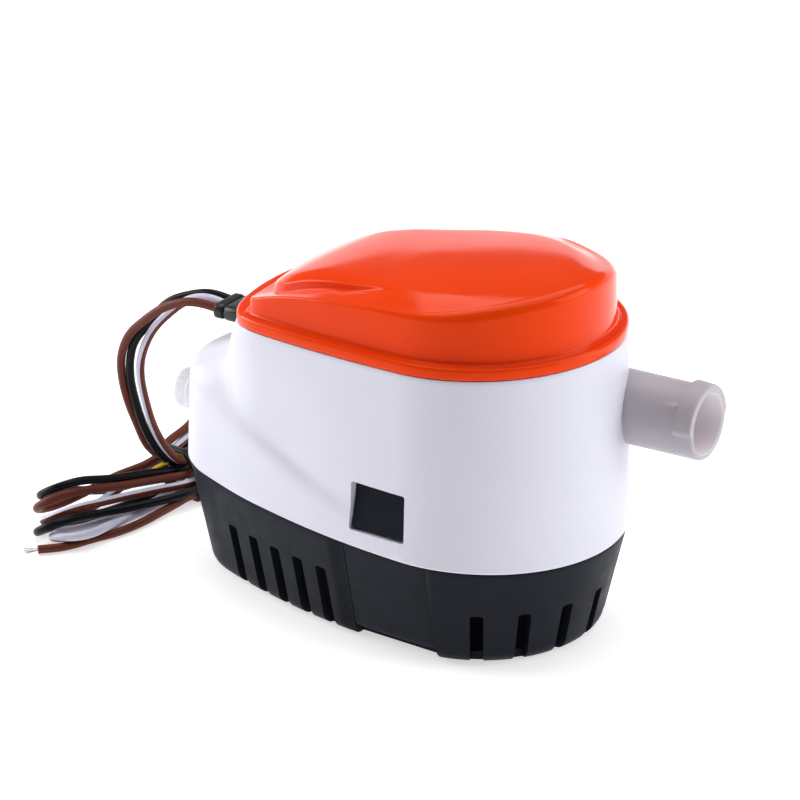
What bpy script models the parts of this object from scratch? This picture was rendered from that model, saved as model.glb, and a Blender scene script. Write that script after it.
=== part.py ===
"""Automatic bilge pump: strainer base, housing with outlet spigot, lid, motor and
impeller, float switch and leads.  Metres, +Z up.  Origin at the middle of the base's
footprint box; the outlet points along +X."""
import math

import bmesh
import bpy
import numpy as np
from mathutils import Matrix, Vector

MM = 0.001

# ---------------------------------------------------------------- driving dimensions (mm)
MX = 19.05                    # motor axis, X
# lower seam outline (egg: big circle on the motor axis, small circle to the left)
R1, L1, RL1, RS1 = 40.15, 64.06, 26.4, 201.0
# lid rim outline
R2, L2, RL2, RS2 = 38.58, 45.0, 32.3, 392.0
# shallow arc across the narrow end of the lid and upper body, and how far it leans out per mm down
FRONT_C, FRONT_R, FRONT_K = 14.5, 82.0, 0.45
SEAM_Z, SEAM_K = 29.94, -0.03  # seam plane: z = SEAM_Z + SEAM_K * (x - MX)
RIM_Z, RIM_K = 82.42, 0.03     # lid rim plane
WALL = 2.4
GAP = 0.3
DECK_0, DECK_1 = 64.0, 66.5    # dry deck
TUBE_OUT, TUBE_IN = 30.0, 28.0  # pump tube inside the housing
TUBE_Z0, TUBE_TOP = 33.0, 75.5
PIPE_Y, PIPE_Z, PIPE_END = 17.05, 62.0, MX + 58.8
PIPE_R, PIPE_BORE = 10.0, 8.26
WIN_X0, WIN_X1, WIN_Z0, WIN_Z1 = MX - 17.2, MX + 0.2, 35.3, 48.8
LATCH_X = MX - 8.5
LATCH_AXIS_Z, LATCH_AXIS_W = 4.5, -5.5
KNOB_Y, KNOB_Z, KNOB_X0 = 0.0, 44.8, MX - 96.9
PIN_X, PIN_Z = MX - 40.0, 38.0
GLAND_X0, GLAND_Z = MX - 82.6, 72.2
WIRE_D = 2.6
N = 60                         # points round the egg outlines


# ---------------------------------------------------------------- scene reset
for ob in list(bpy.data.objects):
    bpy.data.objects.remove(ob, do_unlink=True)


def material(name, rgb, rough=0.5, metal=0.0):
    m = bpy.data.materials.new(name)
    m.use_nodes = True
    b = m.node_tree.nodes["Principled BSDF"]
    b.inputs["Base Color"].default_value = (*rgb, 1.0)
    b.inputs["Roughness"].default_value = rough
    b.inputs["Metallic"].default_value = metal
    m.diffuse_color = (*rgb, 1.0)
    return m


M_ORANGE = material("lid_orange", (0.86, 0.10, 0.015), 0.18)
M_WHITE = material("housing_white", (0.80, 0.80, 0.86), 0.38)
M_BLACK = material("base_black", (0.018, 0.020, 0.025), 0.55)
M_RUBBER = material("rubber", (0.02, 0.02, 0.02), 0.8)
M_STEEL = material("steel", (0.55, 0.55, 0.56), 0.3, 1.0)
M_ZINC = material("zinc", (0.62, 0.63, 0.66), 0.4, 1.0)
M_COPPER = material("copper", (0.72, 0.32, 0.16), 0.3, 1.0)
M_FERRITE = material("ferrite", (0.06, 0.06, 0.065), 0.7)
M_GREEN = material("board_green", (0.02, 0.16, 0.06), 0.45)
M_BRASS = material("bush_brass", (0.62, 0.45, 0.18), 0.4, 1.0)
M_CARBON = material("carbon", (0.03, 0.03, 0.03), 0.8)
M_FOAM = material("float_grey", (0.35, 0.36, 0.38), 0.7)
M_BROWN = material("lead_brown", (0.16, 0.045, 0.025), 0.45)
M_LEADBLACK = material("lead_black", (0.012, 0.013, 0.015), 0.45)
M_STRIPE = material("lead_striped", (0.55, 0.48, 0.50), 0.45)


# ---------------------------------------------------------------- mesh helpers
def new_object(name, bm, mat=None, smooth=True):
    bmesh.ops.recalc_face_normals(bm, faces=bm.faces)
    me = bpy.data.meshes.new(name)
    bm.to_mesh(me)
    bm.free()
    if smooth:
        me.shade_smooth()
        me.set_sharp_from_angle(angle=math.radians(35))
    ob = bpy.data.objects.new(name, me)
    bpy.context.scene.collection.objects.link(ob)
    if mat:
        me.materials.append(mat)
    return ob


def loft(name, rings, mat=None, loop=False, caps=True, smooth=True):
    """Skin closed rings of equal length; loop joins the last ring to the first."""
    bm = bmesh.new()
    vs = [[bm.verts.new([c * MM for c in p]) for p in ring] for ring in rings]
    n = len(rings[0])
    pairs = list(zip(vs[:-1], vs[1:]))
    if loop:
        pairs.append((vs[-1], vs[0]))
    for a, b in pairs:
        for i in range(n):
            j = (i + 1) % n
            bm.faces.new((a[i], a[j], b[j], b[i]))
    if caps and not loop:
        bm.faces.new(vs[0])
        bm.faces.new(vs[-1])
    return new_object(name, bm, mat, smooth)


def lathe(name, prof, n=32, mat=None, at=(0, 0, 0), axis="Z"):
    """Turn a closed (r, h) profile; profile points with r = 0 become poles."""
    bm = bmesh.new()
    cols = []
    for r, h in prof:
        if r < 1e-9:
            cols.append([bm.verts.new((0, 0, h * MM))])
        else:
            cols.append([bm.verts.new((r * MM * math.cos(2 * math.pi * i / n),
                                       r * MM * math.sin(2 * math.pi * i / n), h * MM))
                         for i in range(n)])
    closed = prof[0][0] > 1e-9 and prof[-1][0] > 1e-9
    seq = list(zip(cols[:-1], cols[1:]))
    if closed:
        seq.append((cols[-1], cols[0]))
    for a, b in seq:
        for i in range(n):
            j = (i + 1) % n
            if len(a) == 1 and len(b) == 1:
                continue
            if len(a) == 1:
                bm.faces.new((a[0], b[j], b[i]))
            elif len(b) == 1:
                bm.faces.new((a[i], a[j], b[0]))
            else:
                bm.faces.new((a[i], a[j], b[j], b[i]))
    if axis == "X":
        bmesh.ops.transform(bm, matrix=Matrix.Rotation(math.pi / 2, 4, "Y"), verts=bm.verts)
    elif axis == "Y":
        bmesh.ops.transform(bm, matrix=Matrix.Rotation(-math.pi / 2, 4, "X"), verts=bm.verts)
    bmesh.ops.translate(bm, verts=bm.verts, vec=[c * MM for c in at])
    return new_object(name, bm, mat)


def rod(r, h0, h1):
    return [(0, h0), (r, h0), (r, h1), (0, h1)]


def ringp(r0, r1, h0, h1):
    return [(r0, h0), (r1, h0), (r1, h1), (r0, h1)]


def box(name, lo, hi, mat=None, frame=None, bevel=0.0):
    bm = bmesh.new()
    bmesh.ops.create_cube(bm, size=1.0)
    for v in bm.verts:
        v.co = [(lo[k] + (v.co[k] + 0.5) * (hi[k] - lo[k])) * MM for k in range(3)]
    if bevel:
        bmesh.ops.bevel(bm, geom=list(bm.edges), offset=bevel * MM, segments=2, profile=0.5,
                        affect="EDGES")
    if frame is not None:
        bmesh.ops.transform(bm, matrix=frame, verts=bm.verts)
    return new_object(name, bm, mat, smooth=bool(bevel))


def extrude(name, pts, h0, h1, mat=None, plane="XY"):
    """Prism of a polygon (mm) between two heights; plane XZ extrudes along Y."""
    def put(p, h):
        return (p[0], p[1], h) if plane == "XY" else (p[0], h, p[1])
    return loft(name, [[put(p, h0) for p in pts], [put(p, h1) for p in pts]], mat)


def boolean(ob, tools, op="DIFFERENCE"):
    """Apply one Boolean per tool and remove the tools."""
    for t in tools:
        md = ob.modifiers.new("b", "BOOLEAN")
        md.operation = op
        md.solver = "EXACT"
        md.object = t
        bpy.context.view_layer.update()
        dg = bpy.context.evaluated_depsgraph_get()
        me = bpy.data.meshes.new_from_object(ob.evaluated_get(dg))
        ob.modifiers.clear()
        ob.data = me
        bpy.data.objects.remove(t, do_unlink=True)
        bm = bmesh.new()
        bm.from_mesh(me)
        bmesh.ops.triangulate(bm, faces=[f for f in bm.faces if len(f.verts) > 4])
        bm.to_mesh(me)
        bm.free()
    bm = bmesh.new()
    bm.from_mesh(ob.data)
    bmesh.ops.remove_doubles(bm, verts=bm.verts, dist=1e-6)
    bm.to_mesh(ob.data)
    bm.free()
    ob.data.shade_smooth()
    ob.data.set_sharp_from_angle(angle=math.radians(35))
    return ob


def copy_of(ob, name):
    c = ob.copy()
    c.data = ob.data.copy()
    c.name = name
    bpy.context.scene.collection.objects.link(c)
    return c


def hang_on(empty_name, at, obs, rot=None):
    """Parent pieces to an empty that sits on their joint's axis."""
    e = bpy.data.objects.new(empty_name, None)
    bpy.context.scene.collection.objects.link(e)
    m = Matrix.Translation([c * MM for c in at])
    if rot is not None:
        m = m @ rot
    e.matrix_world = m
    e.empty_display_size = 0.01
    for o in obs:
        o.parent = e
        o.matrix_parent_inverse = m.inverted()
    return e


# ---------------------------------------------------------------- egg outlines
TH = np.linspace(0, 2 * math.pi, N, endpoint=False)


def arc_centre(R, L, r, Rs):
    """Centre of the side arc (near side has the centre at +y), from the motor axis."""
    d0, d1 = Rs - R, Rs - r
    xc = (d1 * d1 - d0 * d0 - L * L) / (2 * L)
    return xc, math.sqrt(max(d0 * d0 - xc * xc, 1e-9))


def egg(R, L, r, Rs, n=160):
    """Closed egg polyline about the motor axis, near side (y < 0) first."""
    xc, yc = arc_centre(R, L, r, Rs)
    a0, a1 = math.atan2(-yc, -xc), math.atan2(-yc, -L - xc)
    A = np.linspace(0, a0, n)
    B = np.linspace(a0, a1, n)[1:-1]
    C = np.linspace(a1, -math.pi, n)
    near = np.concatenate([np.stack([R * np.cos(A), R * np.sin(A)], -1),
                           np.stack([xc + Rs * np.cos(B), yc + Rs * np.sin(B)], -1),
                           np.stack([-L + r * np.cos(C), r * np.sin(C)], -1)])
    return np.concatenate([near, near[::-1][1:-1] * np.array([1, -1])])


def polar(e, th=TH):
    """Radius of an egg about the world origin in each direction."""
    x, y = e[:, 0] + MX, e[:, 1]
    a = np.unwrap(np.arctan2(y, x))
    o = np.argsort(a)
    return np.interp(np.mod(th - a[o][0], 2 * math.pi) + a[o][0],
                     np.append(a[o], a[o][0] + 2 * math.pi),
                     np.append(np.hypot(x, y)[o], np.hypot(x, y)[o][0]))


def lower(d):
    return polar(egg(R1 + d, L1, RL1 + d, RS1 + d))


def front(R):
    """Distance from the world origin to the arc across the narrow end in each direction."""
    q = (FRONT_C + MX) * np.cos(TH)
    return q + np.sqrt(q * q - (FRONT_C + MX) ** 2 + R * R)


def rim(d, lean=0.0):
    """Rim outline offset by d: the egg cut across its narrow end, the corners eased."""
    a, b = polar(egg(R2 + d, L2, RL2 + d, RS2 + d)), front(FRONT_R + d + lean)
    return 0.5 * (a + b - np.sqrt((a - b) ** 2 + 4.5 ** 2))


def ring_at(rad, z):
    x, y = rad * np.cos(TH), rad * np.sin(TH)
    zz = z(x) if callable(z) else np.full(N, float(z))
    return list(zip(x.tolist(), y.tolist(), zz.tolist()))


def seam(x):
    return SEAM_Z + SEAM_K * (np.asarray(x) - MX)


def rimz(x):
    return RIM_Z + RIM_K * (np.asarray(x) - MX)


def body_radius(z, thick=0.0, lift=0.0):
    """Housing outline at height z: drafted upper body, or the float chamber's skirt
    with its sloping roof where that stands further out."""
    t = (z - SEAM_Z) / (RIM_Z - SEAM_Z)
    up = rim((R1 - R2) * (1 - t) - thick, FRONT_K * max(0.0, 80.4 - z))
    base = lower(0)
    xp = base * np.cos(TH) - MX
    edge = np.minimum(60.5, 54.3 - 0.33 * (xp + 65.0))
    s = 1.1
    inset = s * np.log1p(np.exp(np.clip((z + lift - edge) / s, -30, 30))) / 0.45
    out = np.empty(N)
    for k in range(N):
        i = min(float(inset[k]), 26.0)
        e = egg(R1 - 0.25 * i - thick, L1 - 0.65 * i, RL1 - 0.35 * i - thick - 0.012 * (z - 30.0),
                RS1 - 0.25 * i - thick, 60)
        out[k] = polar(e, TH[k:k + 1])[0]
    return np.maximum(up, out)


# local frame on the near wall at the latch: u along the wall, w outward, z up
def wall_frame(x, side):
    xc, yc = arc_centre(R1, L1, RL1, RS1)
    px = x - MX
    dy = -math.sqrt(RS1 ** 2 - (px - xc) ** 2)
    n = Vector((px - xc, dy, 0)).normalized()
    p = Vector((x, yc + dy, 0))
    if side > 0:
        n.y, p.y = -n.y, -p.y
    t = Vector((-n.y, n.x, 0)) if side < 0 else Vector((n.y, -n.x, 0))
    # columns: u, w, z (mirrored frame on the far side is handled by the caller's boxes)
    m = Matrix(((t.x, n.x, 0, p.x * MM), (t.y, n.y, 0, p.y * MM), (0, 0, 1, 0), (0, 0, 0, 1)))
    return m, n, t, p


# ---------------------------------------------------------------- strainer base and latches
def base_solid(name):
    rings = [ring_at(lower(-8.4), 0.0), ring_at(lower(-7.0), 0.7), ring_at(lower(-6.0), 3.0),
             ring_at(lower(-0.45), lambda x: seam(x) - 0.15),
             ring_at(lower(-2.85), lambda x: seam(x) - 0.15),
             ring_at(lower(-2.9), lambda x: seam(x) + 4.0),
             ring_at(lower(-4.5), lambda x: seam(x) + 4.0),
             ring_at(lower(-4.6), lambda x: seam(x) - 3.0),
             ring_at(lower(-8.3), 2.4)]
    return loft(name, rings, M_BLACK)


base = base_solid("strainer_base")
tools = []
for side in (-1, 1):
    m, n, t, p = wall_frame(LATCH_X, side)
    tools.append(box("cut", (-12.6, -12.0, 2.9), (14.3, 6.0, 60.0), frame=m))
# narrow strainer slots beside the float chamber, wider ones round the pump end
cut = bmesh.new()


def slot_cut(m, half, z1, reach):
    b = bmesh.new()
    bmesh.ops.create_cube(b, size=1.0)
    for v in b.verts:
        v.co = ((v.co.x * 2 * half) * MM, (v.co.y * reach * 2 - reach * 0.0) * MM,
                (-2.0 if v.co.z < 0 else z1) * MM)
    bmesh.ops.transform(b, matrix=m, verts=b.verts)
    me = bpy.data.meshes.new("t")
    b.to_mesh(me)
    b.free()
    cut.from_mesh(me)
    bpy.data.meshes.remove(me)


for side in (-1, 1):
    for i in range(5):
        m, n, t, p = wall_frame(MX - 29.9 - 8.83 * i, side)
        slot_cut(m, 1.3, 19.2, 9.6)
for i in range(-3, 4):
    a = math.radians(20.3 * i)
    m = Matrix.Translation((MX * MM + R1 * MM * math.cos(a), R1 * MM * math.sin(a), 0)) @ \
        Matrix.Rotation(a - math.pi / 2, 4, "Z")
    slot_cut(m, 1.8, 15.7, 9.6)
tools.append(new_object("slots", cut, smooth=False))
# two screw holes through the floor
for x in (MX - 62.0, MX + 22.0):
    tools.append(lathe("hole", rod(2.2, -1, 4), 20, at=(x, 0, 0)))
boolean(base, tools)

for side, name in ((-1, "latch_front"), (1, "latch_rear")):
    m, n, t, p = wall_frame(LATCH_X, side)
    lat = base_solid(name)
    boolean(lat, [box("keep", (-12.2, -7.6, 3.3), (13.9, 6.0, 60.0), frame=m)], "INTERSECT")
    boolean(lat, [box("tongue", (-9.7, -5.9, 24.0), (9.6, -4.1, 50.2), frame=m)], "UNION")
    ax = m @ Vector((0, LATCH_AXIS_W * MM, LATCH_AXIS_Z * MM))
    hang_on(name + "_axis", [c / MM for c in ax], [lat])

# ---------------------------------------------------------------- housing
zs = [42.0, 50.0, 54.0, 57.0, 59.0, 60.5, 62.0, 64.0, 66.5, 69.5, 73.0]
rings = [ring_at(body_radius(SEAM_Z), lambda x: seam(x) + 0.15)]
rings += [ring_at(body_radius(z), z) for z in zs]
rings.append(ring_at(rim(0.0), lambda x: rimz(x) - 0.15))
housing = loft("housing", rings, M_WHITE)


def pipe_solid(name, r, x0, x1, n=40):
    return lathe(name, rod(r, x0, x1), n, at=(0, PIPE_Y, PIPE_Z), axis="X")


# the outlet spigot is a piece of its own, fitted to the wall outside
skin = [ring_at(body_radius(SEAM_Z) + GAP, lambda x: seam(x) - 3.0)]
skin += [ring_at(body_radius(z) + GAP, z) for z in zs]
skin.append(ring_at(rim(0.0) + GAP, lambda x: rimz(x) + 3.0))
spigot = lathe("outlet_spigot", [(PIPE_BORE, MX + 22.0), (PIPE_R, MX + 22.0), (PIPE_R - 0.1, PIPE_END - 5.2),
                                 (PIPE_R + 0.6, PIPE_END - 4.6), (PIPE_R + 0.6, PIPE_END - 2.4),
                                 (PIPE_R - 0.15, PIPE_END), (PIPE_BORE, PIPE_END)], 40, M_WHITE,
               at=(0, PIPE_Y, PIPE_Z), axis="X")
boolean(spigot, [loft("skin", skin)])
# wet space below the deck, around the pump tube and the outlet
zw = [24.0, 46.0, 52.0, 56.0, 59.0, 61.5, DECK_0]
wet = loft("wet", [ring_at(body_radius(max(z, 29.0), WALL, 1.6), z) for z in zw])
boolean(wet, [lathe("keep_tube", rod(TUBE_OUT, TUBE_Z0, 90), 56, at=(MX, 0, 0)),
              pipe_solid("keep_pipe", PIPE_R, MX + 5.0, MX + 50.0)])
# dry space above it
zd = [DECK_1, 70.0, 74.0, 79.0]
dry_r = [ring_at(body_radius(z, WALL, 1.6), z) for z in zd]
dry_r.append(ring_at(body_radius(79.0, WALL, 1.6), 92.0))
dry = loft("dry", dry_r)
boolean(dry, [lathe("keep_turret", rod(TUBE_OUT, 40, TUBE_TOP), 56, at=(MX, 0, 0)),
              pipe_solid("keep_pipe2", PIPE_R, MX + 5.0, MX + 50.0)])
cuts = [lathe("bore_tube", [(0, 10), (TUBE_IN, 10), (TUBE_IN, TUBE_TOP - 2.5), (22.5, TUBE_TOP - 2.5), (22.5, 95), (0, 95)],
              56, at=(MX, 0, 0)), dry, wet,
        pipe_solid("bore", PIPE_BORE, MX + 8.0, PIPE_END + 5, 32),
        lathe("stem_hole", rod(2.65, MX - 96, MX - 82), 24, at=(0, KNOB_Y, KNOB_Z), axis="X"),
        lathe("well_hole", rod(5.3, 60, 70), 24, at=(MX - 56, 0, 0)),
        box("gland_hole", (MX - 80, -5.2, GLAND_Z - 1.9), (MX - 62, 5.2, GLAND_Z + 1.9))]
for side in (-1, 1):
    m, n, t, p = wall_frame(LATCH_X, side)
    cuts.append(box("window", (WIN_X0 - LATCH_X, -7.0, WIN_Z0), (WIN_X1 - LATCH_X, 4.0, WIN_Z1), frame=m))
for i in range(3):
    a = math.radians(90 + 120 * i)
    cuts.append(lathe("pilot", rod(1.35, 71, 80), 16,
                      at=(MX + 25.4 * math.cos(a), 25.4 * math.sin(a), 0)))
boolean(housing, cuts)

# ---------------------------------------------------------------- lid
def edge_h(xp):
    """Height of the lid's upper edge over the rim, along the pump."""
    return np.interp(xp, (-70, -62, -54, -48, -42, -36, -20, -4, 5, 12, 20, 27, 34),
                     (4.6, 5.6, 8.1, 10.0, 11.4, 12.3, 14.0, 15.4, 16.1, 16.9, 18.2, 19.3, 20.3))


def dome_h(xp):
    return np.interp(xp, (-66, -58, -53, -48, -42, -35, -24, -12, 0, 16, 34),
                     (6.0, 9.2, 11.6, 13.8, 16.0, 17.6, 18.9, 20.1, 21.0, 21.3, 21.0))


LID_C = -12.0                  # crown centre, from the motor axis


def lid_ring(d, hfun):
    rad = rim(d)
    x, y = rad * np.cos(TH), rad * np.sin(TH)
    return x, y, rimz(x) + hfun(x - MX)


def crown_rings(d, drop, fr):
    x, y, z = lid_ring(d, edge_h)
    he = edge_h(x - MX)
    cx = MX + LID_C
    out = []
    for s in fr:
        xs, ys = cx + (x - cx) * s, y * s
        h = he + (dome_h(xs - MX) - he) * (1 - s * s)
        out.append(list(zip(xs.tolist(), ys.tolist(), (rimz(xs) + h - drop).tolist())))
    return out


def flat(x):
    return np.zeros_like(np.asarray(x, float))


def rows(t):
    return list(zip(t[0].tolist(), t[1].tolist(), t[2].tolist()))


outer = [rows(lid_ring(0.0, lambda x: flat(x) + 0.15)), rows(lid_ring(0.0, lambda x: flat(x) + 2.8)),
         rows(lid_ring(-0.5, lambda x: flat(x) + 3.3)), rows(lid_ring(-2.3, lambda x: flat(x) + 3.3)),
         rows(lid_ring(-3.5, lambda x: edge_h(x) - 0.9))]
outer += crown_rings(-4.3, 0.0, (1.0, 0.85, 0.65, 0.42, 0.2))
inner = crown_rings(-6.4, 2.5, (0.2, 0.45, 0.75, 1.0))
inner += [rows(lid_ring(-5.2, lambda x: flat(x) + 0.15))]


def shell(name, outer, inner, mat):
    """Two skins, each closed by its own middle, joined to each other at the rim."""
    bm = bmesh.new()
    vo = [[bm.verts.new([c * MM for c in p]) for p in ring] for ring in outer]
    vi = [[bm.verts.new([c * MM for c in p]) for p in ring] for ring in inner]
    for a, b in list(zip(vo[:-1], vo[1:])) + list(zip(vi[:-1], vi[1:])) + [(vi[-1], vo[0])]:
        for i in range(N):
            j = (i + 1) % N
            bm.faces.new((a[i], a[j], b[j], b[i]))
    bm.faces.new(vo[-1])
    bm.faces.new(vi[0])
    return new_object(name, bm, mat)


lid = shell("lid", outer, inner, M_ORANGE)

gk = [ring_at(rim(d), lambda x, k=k: rimz(x) + k) for d, k in
      ((-2.8, -2.2), (-2.8, -0.3), (-4.9, -0.3), (-4.9, -2.2))]
loft("lid_gasket", gk, M_RUBBER, loop=True, caps=False)

# ---------------------------------------------------------------- pump end
lathe("intake_plate", [(8.0, 19.0), (29.6, 19.0), (29.8, 20.0), (29.8, TUBE_Z0 - GAP), (28.0, TUBE_Z0 - GAP),
                       (28.0, 21.4), (10.5, 21.4), (9.0, 22.6), (8.0, 22.6)], 40, M_WHITE, at=(MX, 0, 0))

imp = lathe("impeller", [(1.68, 24.2), (5.0, 24.2), (6.0, 29.0), (20.0, 30.4), (20.0, 32.0), (1.68, 32.0)],
            36, M_BLACK, at=(MX, 0, 0))
vanes = bmesh.new()
for k in range(6):
    a0 = 2 * math.pi * k / 6
    prev = None
    cols = []
    for j in range(7):
        f = j / 6
        r = 4.2 + f * 15.0
        a = a0 - 0.9 * f
        wv = 0.75
        tx, ty = -math.sin(a), math.cos(a)
        c = Vector((r * math.cos(a), r * math.sin(a), 0))
        lo_z = 24.6 + 0.6 * f
        cols.append([(c.x + tx * wv, c.y + ty * wv, lo_z), (c.x - tx * wv, c.y - ty * wv, lo_z),
                     (c.x - tx * wv, c.y - ty * wv, 31.2), (c.x + tx * wv, c.y + ty * wv, 31.2)])
    vv = [[vanes.verts.new(((q[0] + MX) * MM, q[1] * MM, q[2] * MM)) for q in c] for c in cols]
    for a_, b_ in zip(vv[:-1], vv[1:]):
        for i in range(4):
            j = (i + 1) % 4
            vanes.faces.new((a_[i], a_[j], b_[j], b_[i]))
    vanes.faces.new(vv[0])
    vanes.faces.new(vv[-1])
boolean(imp, [new_object("vanes", vanes)], "UNION")
shaft = lathe("motor_shaft", rod(1.6, 22.8, 95.0), 20, M_STEEL, at=(MX, 0, 0))
lathe("shaft_seal", ringp(1.7, 6.9, 36.1, 38.9), 28, M_RUBBER, at=(MX, 0, 0))
lathe("motor_pod", [(7.2, 36.0), (21.4, 36.0), (22.0, 36.8), (22.0, TUBE_TOP + GAP), (28.6, TUBE_TOP + GAP),
                    (28.6, TUBE_TOP + 2.6), (19.8, TUBE_TOP + 2.6), (19.8, 39.0), (7.2, 39.0)], 40, M_WHITE,
      at=(MX, 0, 0))
pod = bpy.data.objects["motor_pod"]
holes = []
for i in range(3):
    a = math.radians(90 + 120 * i)
    holes.append(lathe("h", rod(1.8, 70, 84), 16, at=(MX + 25.4 * math.cos(a), 25.4 * math.sin(a), 0)))
# groove for the pod's seal on the flange's underside
holes.append(lathe("groove", ringp(22.9, 23.35, TUBE_TOP - 1, TUBE_TOP + 1.3), 40, at=(MX, 0, 0)))
boolean(pod, holes)
lathe("pod_gasket", ringp(22.95, 23.3, TUBE_TOP + 0.05, TUBE_TOP + 1.2), 40, M_RUBBER, at=(MX, 0, 0))
for i in range(3):
    a = math.radians(90 + 120 * i)
    lathe("pod_screw_%d" % (i + 1), [(0, 73.2), (1.25, 73.2), (1.25, TUBE_TOP + 2.9), (2.6, TUBE_TOP + 2.9),
                                     (2.6, TUBE_TOP + 4.2), (1.9, TUBE_TOP + 4.9), (0, TUBE_TOP + 4.9)], 16, M_ZINC,
          at=(MX + 25.4 * math.cos(a), 25.4 * math.sin(a), 0))

# ---------------------------------------------------------------- motor
lathe("motor_can", [(5.4, 39.4), (18.9, 39.4), (19.4, 40.0), (19.4, 90.0), (18.2, 90.0), (18.2, 40.6), (5.4, 40.6)],
      32, M_STEEL, at=(MX, 0, 0))
lathe("lower_bush", ringp(1.68, 5.1, 39.5, 43.0), 24, M_BRASS, at=(MX, 0, 0))
lathe("upper_bush", ringp(1.68, 4.0, 90.4, 94.0), 24, M_BRASS, at=(MX, 0, 0))
lathe("motor_end_cap", [(4.3, 90.3), (19.4, 90.3), (19.4, 92.0), (17.5, 93.2), (7.0, 93.2), (6.0, 94.2), (4.3, 94.2)],
      32, M_BLACK, at=(MX, 0, 0))


def arc_block(name, r0, r1, a0, a1, z0, z1, mat, n=14):
    aa = [a0 + (a1 - a0) * i / n for i in range(n + 1)]
    pts = [(MX + r1 * math.cos(a), r1 * math.sin(a)) for a in aa]
    pts += [(MX + r0 * math.cos(a), r0 * math.sin(a)) for a in reversed(aa)]
    return extrude(name, pts, z0, z1, mat)


arc_block("magnet_right", 15.3, 17.9, math.radians(-62), math.radians(62), 46, 80, M_FERRITE)
arc_block("magnet_left", 15.3, 17.9, math.radians(118), math.radians(242), 46, 80, M_FERRITE)
# five-slot armature stack with its end turns
pts = []
for k in range(5):
    a = 2 * math.pi * k / 5
    for da, r in ((-0.50, 14.6), (-0.25, 14.9), (0.0, 15.0), (0.25, 14.9), (0.50, 14.6), (0.53, 12.6), (0.26, 11.6),
                  (0.30, 6.0)):
        pts.append((MX + r * math.cos(a + da), r * math.sin(a + da)))
    for da, r in ((2 * math.pi / 5 - 0.30, 6.0), (2 * math.pi / 5 - 0.26, 11.6), (2 * math.pi / 5 - 0.53, 12.6)):
        pts.append((MX + r * math.cos(a + da), r * math.sin(a + da)))
core = extrude("rotor_core", pts, 50, 76, M_STEEL)
boolean(core, [lathe("h", rod(1.7, 40, 90), 20, at=(MX, 0, 0))])
comm = lathe("commutator", ringp(1.7, 5.0, 78.5, 87.0), 24, M_COPPER, at=(MX, 0, 0))
for sgn, name in ((-1, "brush_front"), (1, "brush_rear")):
    prof = [(5.4, 81.0), (13.0, 81.0), (13.0, 90.0), (10.5, 90.0), (10.5, 85.0), (5.4, 85.0)]
    bmv = [[(MX + u, sgn * r, z) for r, z in prof] for u in (-1.8, 1.8)]
    loft(name, bmv, M_CARBON)
hang_on("rotor_axis", (MX, 0, 60), [shaft, imp, core, comm])

# ---------------------------------------------------------------- float switch
brk = box("float_bracket", (MX - 33.2, -10.6, 34.0), (MX - 30.6, 10.6, 46.0), M_WHITE)
ears = [box("ear", (MX - 44.0, 8.6, 34.0), (MX - 32.0, 10.6, 42.0)),
        box("ear", (MX - 44.0, -10.6, 34.0), (MX - 32.0, -8.6, 42.0))]
boolean(brk, ears, "UNION")
boolean(brk, [lathe("h", rod(1.56, -14, 14), 24, at=(PIN_X, 0, PIN_Z), axis="Y")])
lathe("float_pin", rod(1.5, -12.0, 12.0), 24, M_STEEL, at=(PIN_X, 0, PIN_Z), axis="Y")
flo = box("float", (MX - 72.0, -12.0, 12.0), (MX - 46.5, 12.0, 33.0), M_FOAM, bevel=2.5)
arm = [(MX - 52.0, 26.0), (MX - 46.5, 26.0)]
arm += [(PIN_X + 3.6 * math.cos(a), PIN_Z + 3.6 * math.sin(a)) for a in
        [math.radians(-60 + 190 * i / 10) for i in range(11)]]
arm += [(MX - 52.0, 31.5)]
boolean(flo, [extrude("arm", arm, -7.0, 7.0, plane="XZ")], "UNION")
boolean(flo, [lathe("h", rod(1.58, -14, 14), 24, at=(PIN_X, 0, PIN_Z), axis="Y")])
fmag = lathe("float_magnet", rod(3.0, 33.3, 35.6), 20, M_FERRITE, at=(MX - 57.0, 0, 0))
hang_on("float_axis", (PIN_X, 0, PIN_Z), [flo, fmag])
lathe("reed_well", [(0, 47.0), (4.2, 47.0), (4.6, 47.6), (4.6, DECK_1 + GAP), (7.4, DECK_1 + GAP), (7.4, DECK_1 + 1.5),
                    (3.4, DECK_1 + 1.5), (3.4, 48.4), (0, 48.4)], 24, M_WHITE, at=(MX - 56, 0, 0))
lathe("reed_switch", [(0, 49.0), (1.4, 49.0), (2.2, 50.2), (2.2, 63.0), (1.4, 64.2), (0, 64.2)], 16, M_GREEN,
      at=(MX - 56, 0, 0))
pcb = box("circuit_board", (MX - 63.0, -15.0, 69.2), (MX - 34.0, 15.0, 70.8), M_GREEN)
boolean(pcb, [lathe("h", rod(1.8, 60, 80), 16, at=(MX - 59.5, 11.5 * s, 0)) for s in (-1, 1)])
for k, s in ((1, -1), (2, 1)):
    lathe("board_screw_%d" % k, [(0, DECK_1 + GAP), (1.4, DECK_1 + GAP), (1.4, 71.1), (2.7, 71.1), (2.7, 72.4), (2.0, 73.0),
                                 (0, 73.0)], 16, M_ZINC, at=(MX - 59.5, 11.5 * s, 0))

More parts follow.
